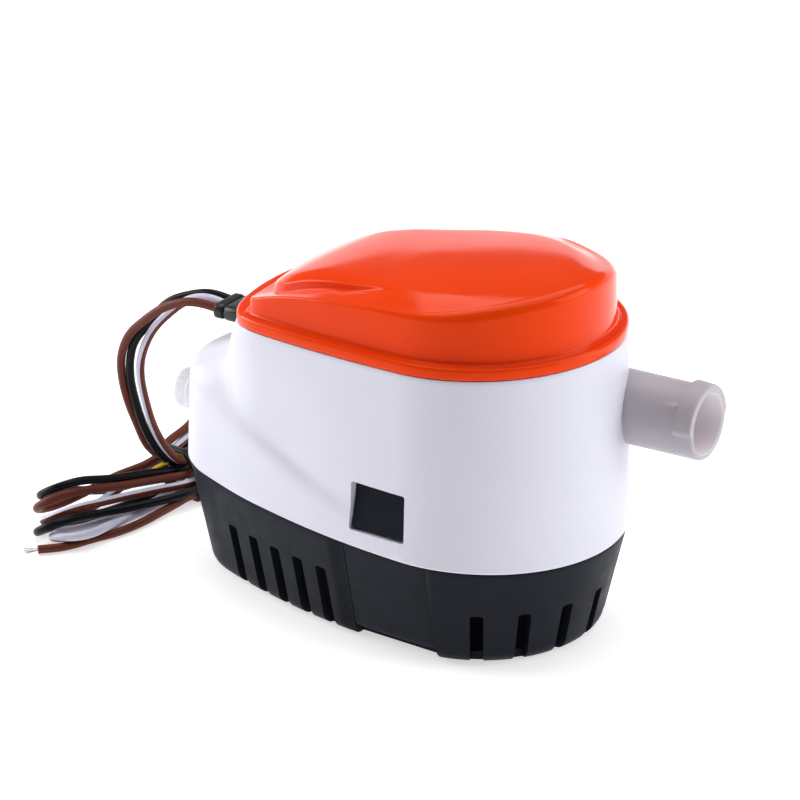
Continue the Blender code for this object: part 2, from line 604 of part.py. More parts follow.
# ---------------------------------------------------------------- test knob
kx = KNOB_X0
knob = lathe("test_knob", [(0, kx), (4.9, kx), (5.75, kx + 0.9), (5.75, kx + 4.2), (4.6, kx + 4.6), (4.6, MX - 91.4),
                           (2.4, MX - 91.4), (2.4, MX - 83.2), (0, MX - 83.2)], 30, M_WHITE, at=(0, KNOB_Y, KNOB_Z), axis="X")
lathe("knob_seal", ringp(2.75, 4.0, MX - 91.2, MX - 90.55), 24, M_RUBBER, at=(0, KNOB_Y, KNOB_Z), axis="X")
cam = lathe("lift_cam", ringp(2.5, 4.2, MX - 86.2, MX - 83.6), 24, M_BLACK, at=(0, KNOB_Y, KNOB_Z), axis="X")
boolean(cam, [box("finger", (MX - 86.2, KNOB_Y - 1.4, KNOB_Z - 7.4), (MX - 83.6, KNOB_Y + 1.4, KNOB_Z - 3.2))], "UNION")
hang_on("knob_axis", (MX - 90, KNOB_Y, KNOB_Z), [knob, cam])

# ---------------------------------------------------------------- gland and leads
gl = box("cable_gland", (GLAND_X0, -6.1, GLAND_Z - 2.3), (MX - 72.7, 6.1, GLAND_Z + 2.3), M_BLACK, bevel=1.5)
boolean(gl, [box("tail", (MX - 75.0, -4.9, GLAND_Z - 1.6), (MX - 65.0, 4.9, GLAND_Z + 1.6), bevel=0.7)], "UNION")


def spline(pts, n):
    """Catmull-Rom curve through pts, n evenly spaced points (mm)."""
    P = [np.array(p, float) for p in pts]
    P = [2 * P[0] - P[1]] + P + [2 * P[-1] - P[-2]]
    out = []
    for a, b, c, d in zip(P[:-3], P[1:-2], P[2:-1], P[3:]):
        for i in range(24):
            t = i / 24
            out.append(0.5 * (2 * b + (c - a) * t + (2 * a - 5 * b + 4 * c - d) * t * t + (3 * b - a - 3 * c + d) * t ** 3))
    out.append(P[-2])
    out = np.array(out)
    s = np.concatenate([[0], np.cumsum(np.linalg.norm(np.diff(out, axis=0), axis=1))])
    q = np.linspace(0, s[-1], n)
    return np.stack([np.interp(q, s, out[:, k]) for k in range(3)], -1)


def lead(name, pts, mat, n=24):
    cu = bpy.data.curves.new(name, "CURVE")
    cu.dimensions = "3D"
    sp = cu.splines.new("POLY")
    q = spline(pts, n)
    sp.points.add(len(q) - 1)
    for s, p in zip(sp.points, q):
        s.co = (p[0] * MM, p[1] * MM, p[2] * MM, 1)
    cu.bevel_depth = WIRE_D / 2 * MM
    cu.bevel_resolution = 2
    cu.use_fill_caps = True
    ob = bpy.data.objects.new(name, cu)
    bpy.context.scene.collection.objects.link(ob)
    cu.materials.append(mat)
    return ob


# the hank lies on the floor beyond the narrow end; its middle line and the tie's place
HANK = [(MX - 135.0, -27.0), (MX - 125.0, -3.0), (MX - 117.0, 18.0), (MX - 114.8, 31.0), (MX - 115.6, 44.0)]
hq = spline([(x, y, 0) for x, y in HANK], 25)
tang = np.gradient(hq[:, :2], axis=0)
tang /= np.linalg.norm(tang, axis=1)[:, None]
nor = np.stack([-tang[:, 1], tang[:, 0]], -1)
HW = 10.0
left_side = [tuple(p) for p in hq[:, :2] + nor * HW]
right_side = [tuple(p) for p in hq[:, :2] - nor * HW]


def cap_arc(c, t, n, sgn, k=8):
    """Half round end of the hank, from the +n side to the -n side for sgn = 1."""
    return [(c[0] + HW * (math.cos(a) * n[0] + math.sin(a) * t[0]) * 1.0,
             c[1] + HW * (math.cos(a) * n[1] + math.sin(a) * t[1]) * 1.0)
            for a in [math.pi * i / k * sgn for i in range(1, k)]]


outline = left_side + cap_arc(hq[-1, :2], tang[-1], nor[-1], 1) + right_side[::-1]
outline += cap_arc(hq[0, :2], -tang[0], -nor[0], 1)
extrude("wire_hank", outline, 1.4, 9.8, M_LEADBLACK)
ti = 12
ta = math.atan2(tang[ti, 1], tang[ti, 0])
tie_m = Matrix.Translation((hq[ti, 0] * MM, hq[ti, 1] * MM, 0)) @ Matrix.Rotation(ta, 4, "Z")


def band(w, z0, z1, r, k=4):
    pts = []
    for cx, cz, a0 in ((w - r, z1 - r, 0), (-(w - r), z1 - r, 90), (-(w - r), z0 + r, 180), (w - r, z0 + r, 270)):
        for i in range(k + 1):
            a = math.radians(a0 + 90 * i / k)
            pts.append((cx + r * math.cos(a), cz + r * math.sin(a)))
    return pts


o, i_ = band(HW + 2.0, 0.05, 11.2, 1.8), band(HW + 0.9, 1.05, 10.2, 0.4)
tie = loft("hank_tie", [[(-2.5, p[0], p[1]) for p in o], [(2.5, p[0], p[1]) for p in o],
                        [(2.5, p[0], p[1]) for p in i_], [(-2.5, p[0], p[1]) for p in i_]],
           M_RUBBER, loop=True, caps=False)
tie.data.transform(tie_m)

X0 = GLAND_X0 - GAP
# the three leads leave side by side, arch over and turn a quarter on their way to the tie
ARCH = [(X0, 0.0, GLAND_Z, 0), (X0 - 3.0, 0.0, GLAND_Z + 0.9, 0), (MX - 104.5, 0.0, 68.4, 0),
        (MX - 115.2, 0.4, 58.8, 8), (MX - 120.0, 1.2, 46.5, 25), (MX - 119.5, 4.5, 33.0, 50),
        (MX - 117.5, 9.0, 22.0, 75), (MX - 116.8, 13.5, 15.4, 90), (MX - 116.4, 18.0, 13.1, 90)]
for name, mat, off in (("lead_brown", M_BROWN, -3.4), ("lead_striped", M_STRIPE, 0.0),
                       ("lead_black", M_LEADBLACK, 3.4)):
    lead(name, [(x + off * math.sin(math.radians(a)), y + off * math.cos(math.radians(a)), z)
                for x, y, z, a in ARCH], mat)
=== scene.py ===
import math

import bmesh
import bpy
import numpy as np
from mathutils import Matrix, Vector


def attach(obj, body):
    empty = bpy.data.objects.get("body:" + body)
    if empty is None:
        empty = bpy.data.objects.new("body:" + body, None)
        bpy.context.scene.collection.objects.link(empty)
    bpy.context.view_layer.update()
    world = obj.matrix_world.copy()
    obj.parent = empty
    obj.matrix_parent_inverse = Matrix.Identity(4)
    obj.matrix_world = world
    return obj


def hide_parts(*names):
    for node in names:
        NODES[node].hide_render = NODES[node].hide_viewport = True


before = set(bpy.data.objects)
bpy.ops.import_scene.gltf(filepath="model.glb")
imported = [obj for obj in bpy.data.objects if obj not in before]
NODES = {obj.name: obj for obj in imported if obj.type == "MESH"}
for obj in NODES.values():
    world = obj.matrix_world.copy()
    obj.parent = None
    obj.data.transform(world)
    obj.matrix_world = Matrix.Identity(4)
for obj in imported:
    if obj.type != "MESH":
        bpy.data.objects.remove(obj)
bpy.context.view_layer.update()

# All lengths below are millimetres with x measured from the motor axis; put() moves them
# into the shared frame, in metres.
MM = 0.001
MX = 19.05
scene = bpy.context.scene


def put(v):
    return (np.asarray(v, float) + np.array([MX, 0.0, 0.0])) * MM


# ------------------------------------------------------------------------------ camera
AZ, EL, DIST = math.radians(31.91), math.radians(22.664), 0.97282
AIM = Vector((-0.00666, 0.0, 0.056305))
BACK = Vector((math.sin(AZ) * math.cos(EL), -math.cos(AZ) * math.cos(EL), math.sin(EL)))
cam_data = bpy.data.cameras.new("camera")
cam_data.lens, cam_data.sensor_width, cam_data.sensor_fit = 162.0, 36.0, "HORIZONTAL"
cam_data.clip_start, cam_data.clip_end = 0.02, 30.0
cam = bpy.data.objects.new("camera", cam_data)
scene.collection.objects.link(cam)
cam.location = AIM + BACK * DIST
cam.rotation_euler = (-BACK).to_track_quat("-Z", "Y").to_euler()
scene.camera = cam


# ------------------------------------------------------------------------------ materials
def surface(name, rgb, rough, var=0.04, scale=60.0, rough_var=0.05, grain=2500.0, bump=0.02, metal=0.0,
            coat=0.0, coat_rough=0.05, spec=0.5, tint=None, sss=0.0, scuff=0.0, scuff_rgb=None):
    """Moulded or drawn finish: slow colour drift, roughness drift and a fine skin grain."""
    m = bpy.data.materials.new(name)
    m.use_nodes = True
    nt = m.node_tree
    b = nt.nodes["Principled BSDF"]
    b.inputs["Metallic"].default_value = metal
    b.inputs["Specular IOR Level"].default_value = spec
    if tint:
        b.inputs["Specular Tint"].default_value = (*tint, 1.0)
    b.inputs["Coat Weight"].default_value = coat
    b.inputs["Coat Roughness"].default_value = coat_rough
    if sss:
        b.inputs["Subsurface Weight"].default_value = sss
        b.inputs["Subsurface Radius"].default_value = (0.004, 0.004, 0.004)
        b.inputs["Subsurface Scale"].default_value = 0.5
    tc = nt.nodes.new("ShaderNodeTexCoord")
    n1 = nt.nodes.new("ShaderNodeTexNoise")
    n1.inputs["Scale"].default_value = scale
    n1.inputs["Detail"].default_value = 5.0
    n1.inputs["Roughness"].default_value = 0.6
    nt.links.new(tc.outputs["Object"], n1.inputs["Vector"])
    ramp = nt.nodes.new("ShaderNodeValToRGB")
    ramp.color_ramp.elements[0].position, ramp.color_ramp.elements[1].position = 0.3, 0.7
    ramp.color_ramp.elements[0].color = tuple(c * (1 - var) for c in rgb) + (1.0,)
    ramp.color_ramp.elements[1].color = tuple(min(1.0, c * (1 + var)) for c in rgb) + (1.0,)
    nt.links.new(n1.outputs["Fac"], ramp.inputs["Fac"])
    col = ramp.outputs["Color"]
    if scuff:
        n4 = nt.nodes.new("ShaderNodeTexNoise")
        n4.inputs["Scale"].default_value = scale * 9
        n4.inputs["Detail"].default_value = 8.0
        n4.inputs["Roughness"].default_value = 0.75
        nt.links.new(tc.outputs["Object"], n4.inputs["Vector"])
        r4 = nt.nodes.new("ShaderNodeValToRGB")
        r4.color_ramp.elements[0].position, r4.color_ramp.elements[1].position = 0.58, 0.72
        r4.color_ramp.elements[0].color = (0, 0, 0, 1)
        r4.color_ramp.elements[1].color = (scuff, scuff, scuff, 1)
        nt.links.new(n4.outputs["Fac"], r4.inputs["Fac"])
        mix = nt.nodes.new("ShaderNodeMix")
        mix.data_type = "RGBA"
        nt.links.new(r4.outputs["Color"], mix.inputs["Factor"])
        nt.links.new(col, mix.inputs["A"])
        mix.inputs["B"].default_value = (*(scuff_rgb or rgb), 1.0)
        col = mix.outputs["Result"]
    nt.links.new(col, b.inputs["Base Color"])
    n2 = nt.nodes.new("ShaderNodeTexNoise")
    n2.inputs["Scale"].default_value = scale * 3.1
    n2.inputs["Detail"].default_value = 4.0
    nt.links.new(tc.outputs["Object"], n2.inputs["Vector"])
    mr = nt.nodes.new("ShaderNodeMapRange")
    mr.inputs["From Min"].default_value, mr.inputs["From Max"].default_value = 0.3, 0.7
    mr.inputs["To Min"].default_value = max(0.02, rough - rough_var)
    mr.inputs["To Max"].default_value = min(1.0, rough + rough_var)
    nt.links.new(n2.outputs["Fac"], mr.inputs["Value"])
    nt.links.new(mr.outputs["Result"], b.inputs["Roughness"])
    n3 = nt.nodes.new("ShaderNodeTexNoise")
    n3.inputs["Scale"].default_value = grain
    n3.inputs["Detail"].default_value = 3.0
    nt.links.new(tc.outputs["Object"], n3.inputs["Vector"])
    bp = nt.nodes.new("ShaderNodeBump")
    bp.inputs["Strength"].default_value = bump
    bp.inputs["Distance"].default_value = 0.0002
    nt.links.new(n3.outputs["Fac"], bp.inputs["Height"])
    nt.links.new(bp.outputs["Normal"], b.inputs["Normal"])
    return m


ORANGE = surface("orange_abs", (0.90, 0.056, 0.004), 0.13, 0.03, 35.0, 0.04, 900.0, 0.012, spec=0.33,
                 tint=(1.0, 0.30, 0.20))
WHITE = surface("white_abs", (0.77, 0.765, 0.865), 0.38, 0.012, 40.0, 0.05, 1800.0, 0.03, spec=0.3, sss=0.05)
# the knob's copy of the white plastic is painted brighter than the housing's: painted light that offsets the shade the
# knob sits in
KNOB_PAINTED_LIGHT = surface("white_abs_knob_painted_light", (0.93, 0.925, 0.97), 0.38, 0.012, 40.0, 0.05, 1800.0, 0.03, spec=0.3, sss=0.05)
# the bore's copy of the white plastic is painted brighter than the spigot's outside: painted light inside the bore and
# on the mouth's inner lip
BORE_PAINTED_LIGHT = surface("white_abs_bore_painted_light", (0.88, 0.82, 0.86), 0.42, 0.015, 60.0, 0.05, 1800.0, 0.04, spec=0.3)
# the spigot's copy of the white plastic is painted much darker than the housing's: painted shade for the side the
# lights barely reach
PIPE_PAINTED_SHADE = surface("white_abs_spigot_painted_shade", (0.47, 0.435, 0.475), 0.42, 0.015, 60.0, 0.05, 1800.0, 0.04, spec=0.3, sss=0.05)
BLACK = surface("black_pp", (0.0088, 0.0112, 0.0178), 0.46, 0.12, 70.0, 0.07, 3200.0, 0.10, spec=0.10, scuff=0.25,
                scuff_rgb=(0.016, 0.019, 0.027))
GLANDM = surface("black_pvc", (0.012, 0.0125, 0.0135), 0.38, 0.12, 150.0, 0.06, 3000.0, 0.06, spec=0.4)
RUBBER = surface("black_rubber", (0.014, 0.015, 0.017), 0.62, 0.15, 150.0, 0.08, 2600.0, 0.15)
STEEL = surface("drawn_steel", (0.56, 0.56, 0.57), 0.30, 0.05, 300.0, 0.08, 1500.0, 0.05, metal=1.0)
ZINC = surface("zinc_plate", (0.60, 0.61, 0.64), 0.38, 0.08, 400.0, 0.08, 1200.0, 0.08, metal=1.0)
COPPER = surface("copper", (0.70, 0.31, 0.16), 0.30, 0.08, 400.0, 0.08, 1500.0, 0.05, metal=1.0)
TINNED = surface("tinned_copper", (0.68, 0.66, 0.65), 0.34, 0.10, 900.0, 0.10, 4000.0, 0.10, metal=1.0)
FERRITE = surface("ferrite", (0.060, 0.060, 0.066), 0.68, 0.12, 300.0, 0.08, 2500.0, 0.20)
BOARD = surface("board_green", (0.020, 0.150, 0.055), 0.42, 0.12, 250.0, 0.06, 1500.0, 0.08)
BRASS = surface("sintered_brass", (0.60, 0.43, 0.18), 0.42, 0.08, 500.0, 0.08, 3000.0, 0.12, metal=1.0)
CARBON = surface("carbon", (0.030, 0.030, 0.031), 0.75, 0.15, 500.0, 0.08, 3000.0, 0.20)
FLOATM = surface("float_foam", (0.52, 0.53, 0.57), 0.60, 0.05, 220.0, 0.06, 2600.0, 0.30)
W_BROWN = surface("pvc_brown", (0.135, 0.030, 0.017), 0.42, 0.10, 160.0, 0.07, 2200.0, 0.05, spec=0.18)
W_BLACK = surface("pvc_black", (0.0045, 0.0050, 0.0070), 0.36, 0.15, 160.0, 0.07, 2200.0, 0.05, spec=0.14)
BAND = surface("tie_black", (0.0040, 0.0042, 0.0050), 0.40, 0.15, 160.0, 0.07, 2200.0, 0.06, spec=0.16)
W_WHITE = surface("pvc_white", (0.66, 0.65, 0.79), 0.40, 0.05, 160.0, 0.06, 2200.0, 0.05, spec=0.35)
YELLOW = surface("tag_yellow", (0.90, 0.62, 0.006), 0.45, 0.06, 200.0, 0.06, 2200.0, 0.06)

SLOT_MAT = {"lid_orange": ORANGE, "housing_white": WHITE, "base_black": BLACK, "rubber": RUBBER, "steel": STEEL,
            "zinc": ZINC, "copper": COPPER, "ferrite": FERRITE, "board_green": BOARD, "bush_brass": BRASS,
            "carbon": CARBON, "float_grey": FLOATM, "lead_brown": W_BROWN, "lead_black": W_BLACK,
            "lead_striped": W_WHITE}
for node in NODES.values():
    for s in node.material_slots:
        key = s.material.name.split(".")[0] if s.material else ""
        s.material = SLOT_MAT.get(key, WHITE)


# ------------------------------------------------------------------------------ mesh tools
def make(name, verts, faces, body, mats, replaces=(), sharp=34.0, face_mats=None, clean=True):
    me = bpy.data.meshes.new(name)
    me.from_pydata([tuple(p) for p in put(verts)], [], [tuple(int(i) for i in f) for f in faces])
    for m in mats:
        me.materials.append(m)
    if face_mats is not None:
        me.polygons.foreach_set("material_index", np.asarray(face_mats, np.int32))
    if clean:
        bm = bmesh.new()
        bm.from_mesh(me)
        bmesh.ops.recalc_face_normals(bm, faces=bm.faces)
        bm.to_mesh(me)
        bm.free()
    me.shade_smooth()
    if sharp:
        me.set_sharp_from_angle(angle=math.radians(sharp))
    ob = bpy.data.objects.new(name, me)
    scene.collection.objects.link(ob)
    if body:
        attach(ob, body)
        if replaces:
            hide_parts(*replaces)
    return ob


def skin(rings, loop_rings=False, cap0=False, cap1=False, base=0):
    """Faces over closed rings (arrays of equal length), with fans to a middle point if capped."""
    n = len(rings[0])
    verts = np.concatenate([np.asarray(r, float) for r in rings])
    faces = []
    k = len(rings)
    for j in range(k if loop_rings else k - 1):
        a, b = j * n, ((j + 1) % k) * n
        for i in range(n):
            i2 = (i + 1) % n
            faces.append((base + a + i, base + a + i2, base + b + i2, base + b + i))
    extra = []
    for flag, ring, start in ((cap0, rings[0], 0), (cap1, rings[-1], (k - 1) * n)):
        if flag:
            c = base + len(verts) + len(extra)
            extra.append(np.mean(np.asarray(ring, float), axis=0))
            for i in range(n):
                faces.append((base + start + i, base + start + (i + 1) % n, c))
    if extra:
        verts = np.concatenate([verts, np.array(extra)])
    return verts, faces


def joined(parts):
    verts, faces = [], []
    off = 0
    for v, f in parts:
        verts.append(np.asarray(v, float))
        faces += [tuple(i + off for i in q) for q in f]
        off += len(v)
    return np.concatenate(verts), faces


def cut(ob, tools, op="DIFFERENCE", sharp=34.0):
    for t in tools:
        md = ob.modifiers.new("b", "BOOLEAN")
        md.operation, md.solver, md.object = op, "EXACT", t
        bpy.context.view_layer.update()
        dg = bpy.context.evaluated_depsgraph_get()
        me = bpy.data.meshes.new_from_object(ob.evaluated_get(dg))
        ob.modifiers.clear()
        ob.data = me
        bpy.data.objects.remove(t, do_unlink=True)
    ob.data.shade_smooth()
    ob.data.set_sharp_from_angle(angle=math.radians(sharp))
    return ob


def block(frame4, lo, hi, r=0.0, axis=1, k=4, taper=None):
    """Closed prism in a local frame (u, w, z), its section's corners rounded by r about one axis."""
    other = [a for a in range(3) if a != axis]
    (a0, b0), (a1, b1) = (lo[other[0]], lo[other[1]]), (hi[other[0]], hi[other[1]])
    pts = []
    if r:
        for cx, cy, s in ((a1 - r, b1 - r, 0), (a0 + r, b1 - r, 90), (a0 + r, b0 + r, 180), (a1 - r, b0 + r, 270)):
            for i in range(k + 1):
                a = math.radians(s + 90 * i / k)
                pts.append((cx + r * math.cos(a), cy + r * math.sin(a)))
    else:
        pts = [(a1, b1), (a0, b1), (a0, b0), (a1, b0)]
    rings = []
    for h in (lo[axis], hi[axis]):
        ring = []
        for p in pts:
            q = [0.0, 0.0, 0.0]
            q[axis], q[other[0]], q[other[1]] = h, p[0], p[1]
            ring.append(q)
        rings.append(np.array(ring))
    v, f = skin(rings)
    n = len(pts)
    f += [tuple(range(n)), tuple(range(n, 2 * n))]
    w = np.array([(frame4 @ Vector(p))[:] for p in v])
    return w, f


# ------------------------------------------------------------------------------ outlines
R1, L1, RL1, RS1 = 40.15, 64.06, 26.4, 201.0       # seam outline
R2, L2, RL2, RS2 = 38.58, 45.0, 32.3, 392.0        # lid rim outline
FRONT_C, FRONT_R, FRONT_K = 14.5, 82.0, 0.45        # shallow arc across its narrow end, and how the face leans
SEAM_Z, SEAM_K, RIM_Z, RIM_K = 29.94, -0.03, 82.42, 0.03
PC = -18.0                                          # pole of the outlines, on the x axis
N = 320
TH = np.linspace(-math.pi, math.pi, N, endpoint=False)
CT, ST = np.cos(TH), np.sin(TH)


def arc_centre(R, L, r, Rs):
    d0, d1 = Rs - R, Rs - r
    xc = (d1 * d1 - d0 * d0 - L * L) / (2 * L)
    return xc, math.sqrt(max(d0 * d0 - xc * xc, 1e-9))


def egg(R, L, r, Rs, n=500):
    xc, yc = arc_centre(R, L, r, Rs)
    a0, a1 = math.atan2(-yc, -xc), math.atan2(-yc, -L - xc)
    A = np.linspace(0, a0, n)
    B = np.linspace(a0, a1, n)[1:-1]
    C = np.linspace(a1, -math.pi, n)
    near = np.concatenate([np.stack([R * np.cos(A), R * np.sin(A)], -1),
                           np.stack([xc + Rs * np.cos(B), yc + Rs * np.sin(B)], -1),
                           np.stack([-L + r * np.cos(C), r * np.sin(C)], -1)])
    return np.concatenate([near, near[::-1][1:-1] * np.array([1, -1])])


def polar(e):
    x, y = e[:, 0] - PC, e[:, 1]
    a, r = np.arctan2(y, x), np.hypot(x, y)
    o = np.argsort(a)
    a, r = a[o], r[o]
    return np.interp(TH, np.concatenate([a[-3:] - 2 * math.pi, a, a[:3] + 2 * math.pi]),
                     np.concatenate([r[-3:], r, r[:3]]))


OFF = np.arange(-20.0, 4.01, 0.5)
LOW_T = np.array([polar(egg(R1 + d, L1, RL1 + d, RS1 + d)) for d in OFF])
EGG_T = np.array([polar(egg(R2 + d, L2, RL2 + d, RS2 + d)) for d in OFF])
INS = np.arange(0.0, 27.01, 0.5)
SKIRT_T = np.array([polar(egg(R1 - 0.08 * i, L1 - 0.88 * i, RL1 - 0.12 * i, RS1 - 0.08 * i)) for i in INS])


def look(table, keys, d):
    """Row of a table of outlines at a value, or at one value per direction."""
    d = np.clip(np.broadcast_to(np.asarray(d, float), (N,)), keys[0], keys[-1] - 1e-6)
    f = (d - keys[0]) / (keys[1] - keys[0])
    j = f.astype(int)
    w = f - j
    i = np.arange(N)
    return table[j, i] * (1 - w) + table[j + 1, i] * w


def lower(d):
    return look(LOW_T, OFF, d)


def front(R):
    """Distance from the pole to the circle of the arc across the narrow end."""
    q = (FRONT_C - PC) * CT
    return q + np.sqrt(np.maximum(q * q - (FRONT_C - PC) ** 2 + R * R, 0.0))


def soft_min(a, b, k):
    return 0.5 * (a + b - np.sqrt((a - b) ** 2 + k * k))


def rim(d, lean=0.0, k=4.5):
    """Rim outline drawn out by d, its narrow end by lean as well."""
    return soft_min(look(EGG_T, OFF, d), front(FRONT_R + d + lean), k)


def seam(x):
    return SEAM_Z + SEAM_K * np.asarray(x)


def rimz(x):
    return RIM_Z + RIM_K * np.asarray(x)


def ring(rad, z):
    x, y = PC + rad * CT, rad * ST
    zz = z(x) if callable(z) else np.broadcast_to(np.asarray(z, float), (N,))
    return np.stack([x, y, zz], -1)


def smooth(t):
    t = np.clip(t, 0.0, 1.0)
    return t * t * (3 - 2 * t)


def softplus(v, s):
    return s * np.log1p(np.exp(np.clip(v / s, -40, 40)))


def wall_frame(x, side):
    """Frame on the side wall at x: u along the wall, w outward, z up."""
    xc, yc = arc_centre(R1, L1, RL1, RS1)
    dy = -math.sqrt(RS1 ** 2 - (x - xc) ** 2)
    n = Vector((x - xc, dy, 0)).normalized()
    p = Vector((x, yc + dy, 0))
    if side > 0:
        n.y, p.y = -n.y, -p.y
    t = Vector((-n.y, n.x, 0)) if side < 0 else Vector((n.y, -n.x, 0))
    return Matrix(((t.x, n.x, 0, p.x), (t.y, n.y, 0, p.y), (0, 0, 1, 0), (0, 0, 0, 1)))


# ------------------------------------------------------------------------------ leads
WIRE = 2.5
TIE_C, TIE_T = np.array([-116.2, 19.2]), np.array([0.36, 0.933])
TIE_N = np.array([-TIE_T[1], TIE_T[0]])


def fold(a, d, t, R=7.2, k=10):
    """Turn from a leg ending at a to the leg displaced by d, going round a loop of radius R beyond them along t."""
    a, d, t = (np.array(v, float) for v in (a, d, t))
    t = t / np.linalg.norm(t)
    d = d - t * (d @ t)
    h = np.linalg.norm(d) / 2
    e = d / (2 * h)
    R = max(R, h)
    p0 = math.acos(h / R)
    mid = a + d / 2 + t * (R * math.sin(p0) + 1.5 * p0)
    return [tuple(mid - e * R * math.cos(f) + t * R * math.sin(f)) for f in
            np.linspace(-0.7 * p0, math.pi + 0.7 * p0, k)]


NEAR, FAR = (-0.38, -0.92, 0.0), (-0.05, 1.0, 0.0)
ROUTES = {}
ROUTES["brown"] = (
    [(-81.4, -3.4, 72.2), (-85.0, -3.4, 72.5), (-89.2, -3.4, 72.7), (-93.3, -3.4, 72.1), (-101.8, -3.0, 68.3), (-109.1, -2.2, 62.6),
     (-115.2, -1.0, 56.8), (-119.6, 1.0, 48.5), (-121.0, 3.0, 41.7), (-121.5, 6.5, 32.9), (-122.0, 11.0, 23.7),
     (-121.8, 16.0, 14.6), (-120.4, 22.0, 9.8), (-118.0, 31.0, 8.8), (-116.7, 39.0, 9.2)]
    + fold((-116.6, 44.0, 9.3), (-9.7, 0.5, 1.1), FAR)
    + [(-126.3, 41.0, 10.4), (-126.1, 30.9, 9.6), (-124.2, 22.7, 8.2), (-124.8, 16.7, 7.6), (-127.9, 8.2, 7.0),
       (-131.3, -1.5, 5.0)]
    + fold((-125.5, -11.5, 10.4), (-7.0, 8.5, -7.3), NEAR)[::-1]
    + [(-120.3, -2.0, 9.2), (-115.5, 10.0, 8.0), (-109.8, 20.6, 7.4), (-110.0, 32.0, 8.2)]
    + fold((-110.5, 42.0, 8.8), (6.0, 0.0, -7.4), FAR)
    + [(-104.5, 32.0, 1.4), (-105.6, 21.0, 1.9), (-108.2, 10.4, 1.9), (-110.0, -4.3, 1.3), (-112.1, -13.8, 1.3),
       (-114.9, -19.7, 1.3), (-118.7, -29.1, 1.3), (-124.1, -35.0, 1.3)])
ROUTES["black"] = (
    [(-81.4, 3.4, 72.2), (-85.4, 3.4, 72.9), (-90.6, 3.4, 73.1), (-98.0, 3.2, 70.7), (-102.5, 2.6, 68.9), (-107.1, 2.2, 64.6),
     (-110.6, 1.6, 59.6), (-114.8, 1.6, 54.9), (-117.1, 2.0, 48.7), (-118.1, 3.0, 43.8), (-119.6, 6.0, 35.0),
     (-119.3, 11.0, 22.8), (-117.6, 14.5, 15.2), (-116.3, 18.5, 10.2), (-114.6, 27.0, 6.0), (-113.2, 36.0, 4.2)]
    + fold((-113.0, 44.0, 4.0), (-12.7, 0.0, 1.0), FAR)
    + [(-125.7, 36.0, 5.0), (-125.4, 28.0, 3.6), (-124.8, 21.0, 3.2), (-127.0, 14.0, 2.4), (-130.6, 6.0, 2.6),
       (-133.6, -1.0, 4.4)]
    + fold((-126.0, -8.4, 12.6), (-7.0, 9.0, -6.5), NEAR)[::-1]
    + [(-123.3, -4.1, 11.5), (-118.3, 7.8, 9.8), (-113.7, 20.4, 8.2), (-112.9, 31.0, 9.0)]
    + fold((-113.0, 43.5, 9.5), (7.6, 0.0, -5.2), FAR)
    + [(-105.6, 32.0, 4.3), (-105.6, 22.0, 4.2), (-106.1, 15.2, 4.2), (-112.6, -0.4, 4.6), (-118.0, -11.6, 5.2)]
    + fold((-120.6, -19.4, 6.1), (-4.5, 8.5, -4.9), NEAR, 6.2)
    + [(-121.5, 0.0, 1.4), (-117.6, 12.0, 2.1), (-116.1, 18.0, 2.5), (-117.5, 30.0, 1.4)])
ROUTES["striped"] = (
    [(-81.4, 0.0, 72.2), (-85.2, 0.1, 72.8), (-89.5, 0.4, 72.9), (-96.3, 0.6, 70.4), (-102.8, 0.6, 64.9), (-107.4, 0.8, 60.2),
     (-110.7, 1.0, 54.8), (-113.6, 2.0, 48.0), (-114.5, 3.0, 43.1), (-115.3, 6.0, 34.5), (-116.0, 11.0, 23.6),
     (-114.7, 14.5, 16.5), (-113.0, 18.5, 11.6), (-113.6, 27.0, 7.6), (-114.8, 36.0, 6.7)]
    + fold((-115.0, 45.0, 6.7), (-10.4, 0.0, 1.5), FAR)
    + [(-125.3, 40.4, 8.2), (-124.9, 32.1, 7.2), (-124.3, 25.2, 5.9), (-125.5, 18.2, 5.0), (-126.6, 6.0, 3.4),
       (-128.0, -4.0, 1.6)]
    + fold((-120.6, -13.8, 7.9), (-6.5, 8.5, -6.8), NEAR)[::-1]
    + [(-118.3, -5.0, 7.0), (-113.6, 7.4, 6.0), (-108.2, 18.8, 5.6), (-107.8, 30.0, 6.2)]
    + fold((-108.3, 41.0, 6.5), (-7.9, 0.0, -5.1), FAR)
    + [(-115.6, 30.0, 1.4), (-112.0, 19.0, 2.4), (-112.6, 8.0, 1.6), (-114.4, -5.9, 2.0), (-113.6, -15.0, 3.2)]
    + fold((-114.0, -21.7, 3.7), (-5.0, 8.0, -2.5), (-0.58, -0.81, 0.0), 6.0)
    + [(-117.0, -1.0, 1.3), (-114.6, 10.0, 1.7), (-113.4, 17.0, 2.5), (-119.5, 30.0, 1.4)])


